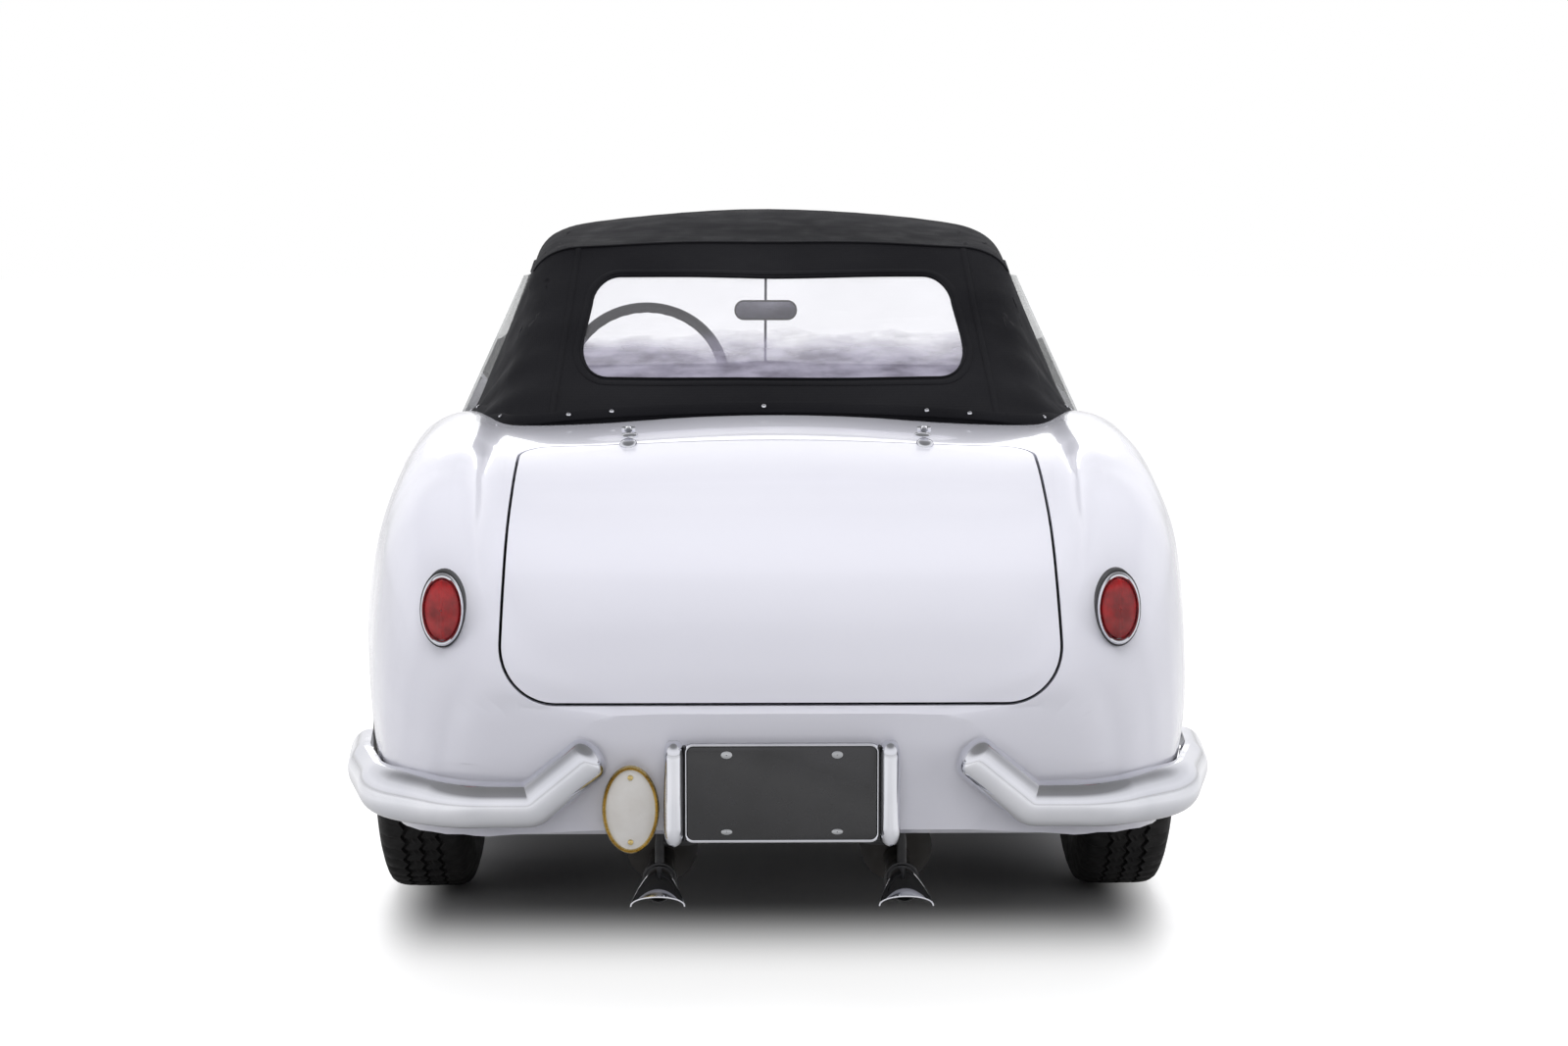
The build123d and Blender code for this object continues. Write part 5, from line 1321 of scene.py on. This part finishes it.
# %% Steering wheel
HUB, TILT = np.array([-280.0, 170.0, 905.0]), radians(25)
AHEAD, UPWARD = np.array([0, cos(TILT), -sin(TILT)]), np.array([0, sin(TILT), cos(TILT)])


def on_wheel(across, up, towards):
    """Point of the wheel's plane; towards is the distance to the driver."""
    return HUB + np.array([1.0, 0, 0]) * across + UPWARD * up - AHEAD * towards


def spun_on_wheel(name, profile, material, steps=48):
    points = [on_wheel(r * cos(2 * pi * i / steps), r * sin(2 * pi * i / steps), out)
              for i in range(steps) for out, r in profile]
    return mesh_piece(name, points, grid_faces(steps, len(profile), close_rows=True), material,
                      "steering_wheel")


rim_points, rim_steps = [], 144
for i in range(rim_steps):
    turn = 2 * pi * i / rim_steps
    for k in range(14):
        round_turn = 2 * pi * k / 14
        grip = 12.4 - (1.3 * (0.5 + 0.5 * cos(36 * turn)) if sin(round_turn) < -0.2 else 0)
        r = 182 + grip * cos(round_turn)
        rim_points.append(on_wheel(r * cos(turn), r * sin(turn), grip * sin(round_turn)))
rim = mesh_piece("steering_rim", rim_points, grid_faces(rim_steps, 14, True, True), FINISH["trim_black"],
                 "steering_wheel")
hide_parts("steering_wheel")
for count, turn in enumerate((0, pi, -pi / 2)):
    for offset in (-12, -4, 4, 12):
        line = [on_wheel(r * cos(turn) - offset * sin(turn), r * sin(turn) + offset * cos(turn), rise)
                for r, rise in ((26, 6), (70, 5), (120, 2), (171, 0))]
        rod = sweep("wheel_rod_%d_%d" % (count, offset + 12), line, [-AHEAD] * 4, ring_section(2.2, 8),
                    FINISH["chrome"], "steering_wheel")
boss = spun_on_wheel("steering_boss", [(-16, 30), (-4, 34), (4, 34), (8, 31), (8, 26)], FINISH["trim_black"])
button = spun_on_wheel("horn_button", [(7, 26), (12, 25), (16, 20), (18.5, 12), (19.5, 0.4)],
                       FINISH["enamel_white"])
print("steering wheel made")

# %% [markdown]
# ## Dashboard and mirror
# The painted metal dashboard stays as the frame has it. On it go a padded roll, two
# large dials before the driver and two small ones, all with bright bezels and plain
# scales. The mirror hangs on its rod in the middle of the windscreen.

# %% Dials
DASH_LOW, DASH_HIGH = np.array([0.0, 446, 716]), np.array([0.0, 430, 905])
DASH_UP = (DASH_HIGH - DASH_LOW) / np.linalg.norm(DASH_HIGH - DASH_LOW)
DASH_OUT = np.cross(DASH_UP, (1, 0, 0))
if DASH_OUT[1] > 0:
    DASH_OUT = -DASH_OUT


def on_dash(x, up, out):
    return DASH_LOW + np.array([x, 0, 0]) + DASH_UP * up + DASH_OUT * out


for name, x, up, radius in (("speed_dial", -372, 116, 50), ("rev_dial", -186, 116, 50),
                            ("fuel_dial", -62, 120, 30), ("oil_dial", 20, 120, 30)):
    bezel = [(0, radius + 5), (5, radius + 5), (8, radius + 2), (7, radius - 2), (2, radius - 4)]
    points = [on_dash(x + r * cos(a), up + r * sin(a), out)
              for a in np.linspace(0, 2 * pi, 48, endpoint=False) for out, r in bezel]
    mesh_piece(name + "_bezel", points, grid_faces(48, 5, close_rows=True), FINISH["chrome"])
    points = [on_dash(x + r * cos(a), up + r * sin(a), out)
              for a in np.linspace(0, 2 * pi, 48, endpoint=False) for out, r in
              ((2.5, radius - 3), (1.5, radius * 0.7), (1.2, 0.4))]
    mesh_piece(name + "_face", points, grid_faces(48, 3, close_rows=True), FINISH["plate_black"])
    marks, faces = [], []
    for turn in np.linspace(-0.75 * pi, 0.75 * pi, 13):
        direction, side_way = np.array([sin(turn), cos(turn)]), np.array([cos(turn), -sin(turn)])
        base = len(marks)
        for reach, wide in ((0.72, 1.0), (0.90, 1.0)):
            for way in (-1, 1):
                spot = direction * radius * reach + side_way * way * wide
                marks.append(on_dash(x + spot[0], up + spot[1], 3.4))
        faces.append((base, base + 1, base + 3, base + 2))
    base = len(marks)
    for spot in ((-2.2, -8), (2.2, -8), (0.5, radius * 0.8), (-0.5, radius * 0.8)):
        marks.append(on_dash(x + spot[0] * 0.8 - spot[1] * 0.5, up + spot[1] * 0.8 + spot[0] * 0.5, 4.2))
    faces.append((base, base + 1, base + 2, base + 3))
    mesh_piece(name + "_scale", marks, faces, FINISH["enamel_white"])
roll_line = [(x, 432 + 0.00002 * x * x, 908) for x in np.linspace(-570, 570, 40)]
roll = sweep("dash_roll", roll_line, [(0, -1, 0.3)] * 40, [(a * 1.2, b) for a, b in ring_section(12, 14)],
             FINISH["seat_black"])
print("dials made")

# %% Mirror
MIRROR_Z = 1060
SHELL_LOOPS = ((146, 44, 21, 396), (150, 48, 23, 392), (150, 48, 23, 386), (146, 44, 21, 383.5))
mirror_back = [p for w, h, r, y in SHELL_LOOPS for p in rounded_box(w, h, r, y, MIRROR_Z)]
mirror_shell = mesh_piece("mirror_shell", mirror_back, grid_faces(4, 32, False, True)
                          + [tuple(range(32)), tuple(range(96, 128))[::-1]], FINISH["frame_black"])
glass = [p for w, h, r, y in ((143, 41, 19.5, 383.8), (142, 40, 19, 383.0))
         for p in rounded_box(w, h, r, y, MIRROR_Z)]
FINISH["mirror_silver"] = finish("mirror_silver", ((0.26, 0.26, 0.30), (0.32, 0.32, 0.36)), (0.03, 0.06), 1.0,
                                 patches=20, grain=300, bump=0.02, depth=0.0001)
mirror_glass = mesh_piece("mirror_glass", glass, grid_faces(2, 32, False, True)
                          + [tuple(range(32)), tuple(range(32, 64))[::-1]], FINISH["mirror_silver"])
rod = sweep("mirror_rod", [(0, 500.5, 928), (0, 409, 1074), (0, 317, 1219)], [(1, 0, 0)] * 3,
            ring_section(3.6, 12), FINISH["chrome"])
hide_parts("inner_mirror")
clamp = sweep("mirror_clamp", [(0, 394, 1060), (0, 406, 1062), (0, 414, 1066)], [(1, 0, 0)] * 3,
              ring_section(6, 12), FINISH["frame_black"])
print("mirror made")

# %% [markdown]
# ## Grille
# The nose carries a bright shield: a heavy rounded frame, upright bars behind its
# face and a stronger bar in the middle. The bars are half round in front, so each
# holds its own highlight, which a row of flat strips would not.

# %% Grille frame and bars
def rounded_loop(corners, radius, y):
    """Closed outline in a plane across the car, with round corners."""
    points = []
    for before, corner, after in zip(corners[-1:] + corners[:-1], corners, corners[1:] + corners[:1]):
        path = rounded_path([(before[0], y, before[1]), (corner[0], y, corner[1]), (after[0], y, after[1])],
                            [radius], radius * 0.1)
        middle = np.array([corner[0], y, corner[1]])
        points += [p for p in path[1:-1] if np.linalg.norm(p - middle) < radius * 1.12]
    return points


def shield(inset):
    return [(-240 + inset, 336 + inset), (240 - inset, 336 + inset), (280 - inset, 606 - inset),
            (-280 + inset, 606 - inset)]


GRILLE_Y = (1972, 2046)
loop = rounded_loop(shield(8), 54, sum(GRILLE_Y) / 2)
turns = np.linspace(0, 2 * pi, 24, endpoint=False)
frame_section = [(7.8 * np.sign(cos(t)) * abs(cos(t)) ** 0.7, 36.5 * np.sign(sin(t)) * abs(sin(t)) ** 0.45)
                 for t in turns]
grille_frame = sweep("grille_frame", loop, outwards_from(loop, (0, sum(GRILLE_Y) / 2, 471)), frame_section,
                     FINISH["chrome"], closed=True)
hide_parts("grille")
edge = np.array(rounded_loop(shield(12), 50, 0))[:, [0, 2]]


def bar_ends(x):
    """Lowest and highest point of the shield's opening at one place across."""
    hits = []
    for a, b in zip(edge, np.roll(edge, -1, axis=0)):
        if (a[0] - x) * (b[0] - x) <= 0 and a[0] != b[0]:
            hits.append(a[1] + (b[1] - a[1]) * (x - a[0]) / (b[0] - a[0]))
    return min(hits), max(hits)


BAR_COUNT = 23
bar_section = [(2.4 * cos(t), 9 * np.sign(sin(t)) * abs(sin(t)) ** 0.7) for t in turns[::2]]
for k in range(BAR_COUNT):
    x = (k - (BAR_COUNT - 1) / 2) * 22
    if k == (BAR_COUNT - 1) // 2:
        continue
    low, high = bar_ends(x)
    line = [(x, 1991, z) for z in np.linspace(low, high, 5)]
    sweep("grille_bar_%02d" % k, line, [(1, 0, 0)] * 5, bar_section, FINISH["chrome"])
line = [(0, 2010, z) for z in np.linspace(342, 600, 7)]
spine = sweep("grille_spine", line, [(1, 0, 0)] * 7, [(a * 3.6, b * 3.2) for a, b in bar_section],
              FINISH["chrome"])
print("grille with", BAR_COUNT, "bars")

# %% [markdown]
# ## Headlamps and indicators
# A headlamp is four things: a chrome rim that rolls inwards, a domed glass with
# moulded flutes, a bright bowl behind it, and a small shield over the bulb. Seen at
# an angle the bowl gives it depth, which a grey disc never does.

# %% Lamp glass
FINISH["lamp_glass"] = clear("lamp_glass", (0.97, 0.98, 0.98), 0.03, 0.35, 55.0, 0.12)
FINISH["lamp_bowl"] = finish("lamp_bowl", ((0.70, 0.71, 0.73), (0.80, 0.81, 0.83)), (0.14, 0.28), 1.0,
                             patches=12, grain=200, bump=0.1, depth=0.0004)
print("lamp finishes ready")

# %% Headlamps
HEADLAMP = (570, 632)
LAMP_PARTS = (
    ("headlamp_rim", [(1900, 86.5), (1938, 87.4), (1950, 87.6), (1957, 85.5), (1961.4, 81), (1960.5, 76.6),
                      (1955, 74.6), (1949, 75.5)], "chrome", "chrome"),
    ("headlamp_seal", [(1930, 90.5), (1940, 91.5), (1944, 90), (1944, 87)], "trim_black", "trim_black"),
    ("headlamp_bowl", [(1951, 75), (1936, 70.5), (1914, 58), (1896, 40), (1886, 20), (1884, 0.5)],
     "lamp_bowl",
     "chrome"),
    ("bulb_shield", [(1906, 9), (1926, 12), (1934, 11), (1938, 6), (1939, 0.4)], "chrome", "chrome"),
    ("headlamp_glass", [(1952, 75.4), (1955, 70), (1958, 58), (1960, 42), (1961.2, 22), (1961.6, 0.5)],
     "lamp_glass", "clear_glass"))
for side, label in ((1, "right"), (-1, "left")):
    for name, profile, material, slot in LAMP_PARTS:
        piece = spin(name + "_" + label, profile, (HEADLAMP[0] * side, 0, HEADLAMP[1]), FINISH[material],
                     axis="Y", steps=72)
        if side == 1 and name == "headlamp_rim":
            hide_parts("headlamps")
print("headlamps made")

# %% Front indicators
for side, label in ((1, "right"), (-1, "left")):
    place = (520 * side, 0, 505)
    base = spin("indicator_base_" + label, [(1962, 33), (2026, 33), (2032, 35.4), (2038, 35.8), (2041, 34),
                                            (2040, 31)], place, FINISH["chrome"], axis="Y")
    lens_piece = spin("indicator_lens_" + label, [(2039, 32), (2045, 31), (2049, 27), (2051, 18), (2051.8, 8),
                                                  (2052, 0.4)], place, FINISH["amber_lens"], axis="Y")
    if side == 1:
        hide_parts("front_indicators")
print("indicators made")

# %% [markdown]
# ## Hinges, handles and wipers
# Small bright fittings sit on curved skin, so each is drawn flat and then laid on
# the fair surface: every point asks the surface for the nearest place and its
# outward direction, and stands off by its own height.

# %% Laying a fitting on the skin
def on_skin(x, y, z, height, reach=0.09):
    """Point above the body surface, and the outward direction there."""
    spot = Vector((x / 1000, y / 1000, z / 1000))
    nearest = BODY_FAIRING.tree.find_nearest(spot, reach)[0]
    _, move, normal = BODY_FAIRING.find(spot, reach)
    return 1000 * (np.array(nearest) + move) + normal * height


def pad_on_skin(name, outline, rings, material, body="body"):
    """Domed plate: outline of (x, y, z) points, rings of (share, height)."""
    centre = np.mean(np.array(outline, float), axis=0)
    points = [on_skin(*(centre + (np.array(p) - centre) * share), height)
              for share, height in rings for p in outline]
    return mesh_piece(name, points, grid_faces(len(rings), len(outline), False, True), material, body)


print("skin above a hinge", [round(float(c), 1) for c in on_skin(263, -1490, 890, 0)])

# %% Boot hinges
HINGE = (263, -1462, 903)
DOME = ((1.0, -1), (1.0, 2.5), (0.92, 5.2), (0.75, 7.4), (0.5, 8.6), (0.25, 9.0), (0.02, 9.1))
for side, label in ((1, "right"), (-1, "left")):
    drop = []
    for t in np.linspace(0, 2 * pi, 40, endpoint=False):
        along = cos(t)
        wide = 15.5 * sin(t) * (1 - 0.42 * max(along, 0) ** 1.5)
        drop.append(((HINGE[0] + wide) * side, HINGE[1] - 34 + 27 * along, 890))
    leaf = pad_on_skin("hinge_leaf_" + label, drop, DOME, FINISH["chrome"], "boot_lid")
    arm = sweep("hinge_arm_" + label, [((HINGE[0]) * side, y, z) for y, z in
                                       ((HINGE[1] - 12, 901), (HINGE[1] - 4, 905), (HINGE[1] + 1, 904))],
                [(1, 0, 0)] * 3, [(a * 1.5, b * 0.8) for a, b in ring_section(4.6, 10)],
                FINISH["chrome"], "boot_lid")
    pin = spin("hinge_pin_" + label, [(-12, 0.4), (-12, 4.6), (-10, 5.8), (10, 5.8), (12, 4.6), (12, 0.4)],
               (HINGE[0] * side, HINGE[1], HINGE[2]), FINISH["chrome"], "boot_lid", 24)
    foot_line = [((HINGE[0] + 15 * cos(t)) * side, HINGE[1] + 24 + 14 * sin(t), 900)
                 for t in np.linspace(0, 2 * pi, 32, endpoint=False)]
    foot = pad_on_skin("hinge_foot_" + label, foot_line,
                       ((1, -1), (1, 3), (0.85, 5.5), (0.5, 7), (0.02, 7.4)), FINISH["chrome"])
    if side == 1:
        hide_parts("boot_hinges")
        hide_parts("boot_hinge_bases")
print("hinges laid")

# %% Door handles
for side, label in ((1, "right"), (-1, "left")):
    body = "door_" + label
    low, high = (c * 1000 for c in map(np.array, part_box("door_handle_" + label)))
    outer_x = max(abs(low[0]), abs(high[0]))
    y0, y1, z = low[1], high[1], (low[2] + high[2]) / 2
    skin_x = abs(on_skin(770 * side, (y0 + y1) / 2, z, 0)[0])
    bow = [(skin_x - 2, y0 + 12), (skin_x + 6, y0 + 13), (outer_x - 8, y0 + 18), (outer_x - 6.5, y0 + 34),
           (outer_x - 6, (y0 + y1) / 2), (outer_x - 6.5, y1 - 34), (outer_x - 8, y1 - 18),
           (skin_x + 6, y1 - 13), (skin_x - 2, y1 - 12)]
    line = rounded_path([(x * side, y, z) for x, y in bow], [6] * 7, 4)
    handle = sweep("door_pull_" + label, line, [(0, 0, 1)] * len(line), [(a * 1.25, b * 0.75) for a, b in
                   ring_section(6.2, 16)], FINISH["chrome"], body)
    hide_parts("door_handle_" + label)
    for name, y in (("front", y1 - 12), ("rear", y0 + 12)):
        rosette = [(770 * side, y + 10 * cos(t), z + 13 * sin(t))
                   for t in np.linspace(0, 2 * pi, 28, endpoint=False)]
        plate = pad_on_skin("handle_%s_foot_%s" % (name, label), rosette,
                            ((1, -1), (1, 2), (0.85, 4), (0.6, 5), (0.02, 5.4)), FINISH["chrome"], body)
    lock = [(770 * side, y0 - 14 + 8 * cos(t), z + 8 * sin(t))
            for t in np.linspace(0, 2 * pi, 24, endpoint=False)]
    button = pad_on_skin("door_lock_" + label, lock, ((1, -1), (1, 3), (0.8, 4.6), (0.4, 4.8), (0.02, 4.2)),
                         FINISH["chrome"], body)
print("handles made")

# %% Wipers on the scuttle
WIPER_Y, BLADE_Y = 610, 572
for side, label in ((1, "right"), (-1, "left")):
    base = on_skin(250 * side, WIPER_Y, 905, 2)
    spindle = spin("wiper_spindle_" + label, [(-2, 11), (4, 11), (12, 8), (18, 7), (20, 5), (20.5, 0.4)],
                   tuple(base), FINISH["chrome"], axis="Z", steps=28)
    start = base + np.array([0, 0, 15])
    tip = on_skin(10 * side, BLADE_Y, 915, 22)
    bend = start * 0.5 + tip * 0.5 + np.array([0, 2, 6])
    arm = sweep("wiper_arm_" + label, [start, bend, tip], [(0, 0, 1)] * 3,
                [(a * 0.7, b * 1.4) for a, b in ring_section(2.8, 8)], FINISH["chrome"])
    blade = [on_skin((10 + k) * side, BLADE_Y + 0.02 * abs(k), 915, 15) for k in np.linspace(-130, 130, 12)]
    rubber = sweep("wiper_blade_" + label, blade, [(0, 0, 1)] * 12,
                   [(a * 1.8, b * 0.7) for a, b in ring_section(4, 8)], FINISH["trim_black"])
print("wipers made")

# %% [markdown]
# ## Floor and light
# A studio for a white car is mostly white card. Five wide softboxes light it, and
# the world fills in at a low level. Real lamps would leave hot patches in the paint
# and chrome, so all but the front one are hidden from gloss, which mirrors a card
# that is white at the horizon and grey overhead. The camera sees plain white, also
# through glass. The floor glows away from the car and not near it, so the dark
# patch round the car is painted shadow on top of the shadow the lamps cast, and
# gloss sees a floor painted darker near the car.

# %% Floor
floor_mesh = bpy.data.meshes.new("floor")
floor_mesh.from_pydata([(-60, -60, 0), (60, -60, 0), (60, 60, 0), (-60, 60, 0)], [], [(0, 1, 2, 3)])
floor = bpy.data.objects.new("floor", floor_mesh)
bpy.context.scene.collection.objects.link(floor)
floor_paint = finish("floor_card", ((0.30, 0.30, 0.303), (0.33, 0.33, 0.333)), (0.45, 0.6), patches=0.6,
                     grain=40, bump=0.05, depth=0.001)
tree = floor_paint.node_tree
# Painted shadow: this is the distance from a box round the car's footprint (1.2 m by 2.44 m). It is scaled so
# that the glow below rises to full within about 0.2 m across and 0.7 m along, which paints the floor dark
# near the car on top of the shadow the lamps cast.
place = tree.nodes.new("ShaderNodeTexCoord")
vector = place.outputs["Object"]
for way, amount in (("ABSOLUTE", None), ("SUBTRACT", (0.60, 1.22, 0)), ("MAXIMUM", (0, 0, 0)),
                    ("MULTIPLY", (5.0, 1.5, 0)), ("LENGTH", None)):
    node = tree.nodes.new("ShaderNodeVectorMath")
    node.operation = way
    tree.links.new(vector, node.inputs[0])
    if amount:
        node.inputs[1].default_value = amount
    vector = node.outputs["Value" if way == "LENGTH" else "Vector"]
away = tree.nodes.new("ShaderNodeMapRange")
away.interpolation_type = "SMOOTHERSTEP"
for socket, number in (("From Min", 0.0), ("From Max", 1.0), ("To Min", 0.0), ("To Max", 0.85)):
    away.inputs[socket].default_value = number
tree.links.new(vector, away.inputs["Value"])
glow = tree.nodes.new("ShaderNodeEmission")
tree.links.new(away.outputs["Result"], glow.inputs["Strength"])
path = tree.nodes.new("ShaderNodeLightPath")
# Painted reflection: gloss sees only 0.22 to 0.70 of the glow, least near the car, so paint and chrome mirror
# a floor painted darker round the car.
far = tree.nodes.new("ShaderNodeMapRange")
for socket, number in (("From Min", 0.6), ("From Max", 5.0), ("To Min", 0.22), ("To Max", 0.70)):
    far.inputs[socket].default_value = number
tree.links.new(vector, far.inputs["Value"])
seen = tree.nodes.new("ShaderNodeMath")
seen.operation = "MULTIPLY_ADD"
tree.links.new(path.outputs["Is Glossy Ray"], seen.inputs[0])
tree.links.new(far.outputs["Result"], seen.inputs[1])
tree.links.new(path.outputs["Is Camera Ray"], seen.inputs[2])
dark = tree.nodes.new("ShaderNodeEmission")
dark.inputs["Strength"].default_value = 0.0
choose = tree.nodes.new("ShaderNodeMixShader")
tree.links.new(seen.outputs["Value"], choose.inputs["Fac"])
tree.links.new(dark.outputs["Emission"], choose.inputs[1])
tree.links.new(glow.outputs["Emission"], choose.inputs[2])
both = tree.nodes.new("ShaderNodeAddShader")
tree.links.new(tree.nodes["Principled BSDF"].outputs["BSDF"], both.inputs[0])
tree.links.new(choose.outputs["Shader"], both.inputs[1])
tree.links.new(both.outputs["Shader"], tree.nodes["Material Output"].inputs["Surface"])
floor_mesh.materials.append(floor_paint)
print("floor", tuple(floor.dimensions))

# %% World and lamps
scene = bpy.context.scene
scene.view_settings.view_transform = "Standard"
world = bpy.data.worlds.new("studio")
scene.world = world
world.use_nodes = True
tree = world.node_tree
tree.nodes.clear()
path = tree.nodes.new("ShaderNodeLightPath")
fill, white = tree.nodes.new("ShaderNodeBackground"), tree.nodes.new("ShaderNodeBackground")
fill.inputs["Color"].default_value = (0.88, 0.88, 1.0, 1)
fill.inputs["Strength"].default_value = 0.21
white.inputs["Color"].default_value = (1, 1, 1, 1)
white.inputs["Strength"].default_value = 1.0
card = tree.nodes.new("ShaderNodeBackground")
place = tree.nodes.new("ShaderNodeTexCoord")
apart = tree.nodes.new("ShaderNodeSeparateXYZ")
tree.links.new(place.outputs["Generated"], apart.inputs["Vector"])
ramp = tree.nodes.new("ShaderNodeValToRGB")
stops = ((0.0, 0.70), (0.08, 0.95), (0.25, 1.0), (0.48, 0.85), (0.72, 0.30), (1.0, 0.24))
ramp.color_ramp.elements[0].color = (stops[0][1],) * 3 + (1,)
ramp.color_ramp.elements[1].color = (stops[-1][1],) * 3 + (1,)
for place_on_ramp, grey in stops[1:-1]:
    ramp.color_ramp.elements.new(place_on_ramp).color = (grey, grey, grey * 1.03, 1)
tree.links.new(apart.outputs["Z"], ramp.inputs["Fac"])
tree.links.new(ramp.outputs["Color"], card.inputs["Color"])
also = tree.nodes.new("ShaderNodeMath")
also.operation = "MAXIMUM"
tree.links.new(path.outputs["Is Camera Ray"], also.inputs[0])
tree.links.new(path.outputs["Is Transmission Ray"], also.inputs[1])
gloss = tree.nodes.new("ShaderNodeMixShader")
tree.links.new(path.outputs["Is Glossy Ray"], gloss.inputs["Fac"])
tree.links.new(fill.outputs["Background"], gloss.inputs[1])
tree.links.new(card.outputs["Background"], gloss.inputs[2])
mix = tree.nodes.new("ShaderNodeMixShader")
tree.links.new(also.outputs["Value"], mix.inputs["Fac"])
tree.links.new(gloss.outputs["Shader"], mix.inputs[1])
tree.links.new(white.outputs["Background"], mix.inputs[2])
tree.links.new(mix.outputs["Shader"], tree.nodes.new("ShaderNodeOutputWorld").inputs["Surface"])


def softbox(name, place, aim, size, power):
    lamp = bpy.data.lights.new(name, "AREA")
    lamp.shape = "RECTANGLE"
    lamp.size, lamp.size_y = size
    lamp.energy = power
    box = bpy.data.objects.new(name, lamp)
    scene.collection.objects.link(box)
    box.location = place
    box.rotation_euler = (Vector(aim) - Vector(place)).to_track_quat("-Z", "Y").to_euler()
    return box


softbox("overhead", (0, -1.2, 4.6), (0, -0.9, 0), (6.5, 8.5), 290).visible_glossy = False
softbox("behind_high", (0, -8.5, 4.6), (0, -1.8, 0.7), (6.0, 3.0), 50).visible_glossy = False
softbox("left_side", (-5.2, -2.4, 1.7), (0, -0.6, 0.5), (7.0, 2.6), 125).visible_glossy = False
softbox("right_side", (5.2, -2.4, 1.7), (0, -0.6, 0.5), (7.0, 2.6), 125).visible_glossy = False
softbox("front_fill", (0, 7.5, 3.6), (0, 1.0, 0.6), (6.0, 3.0), 75)
print("lamps ready")
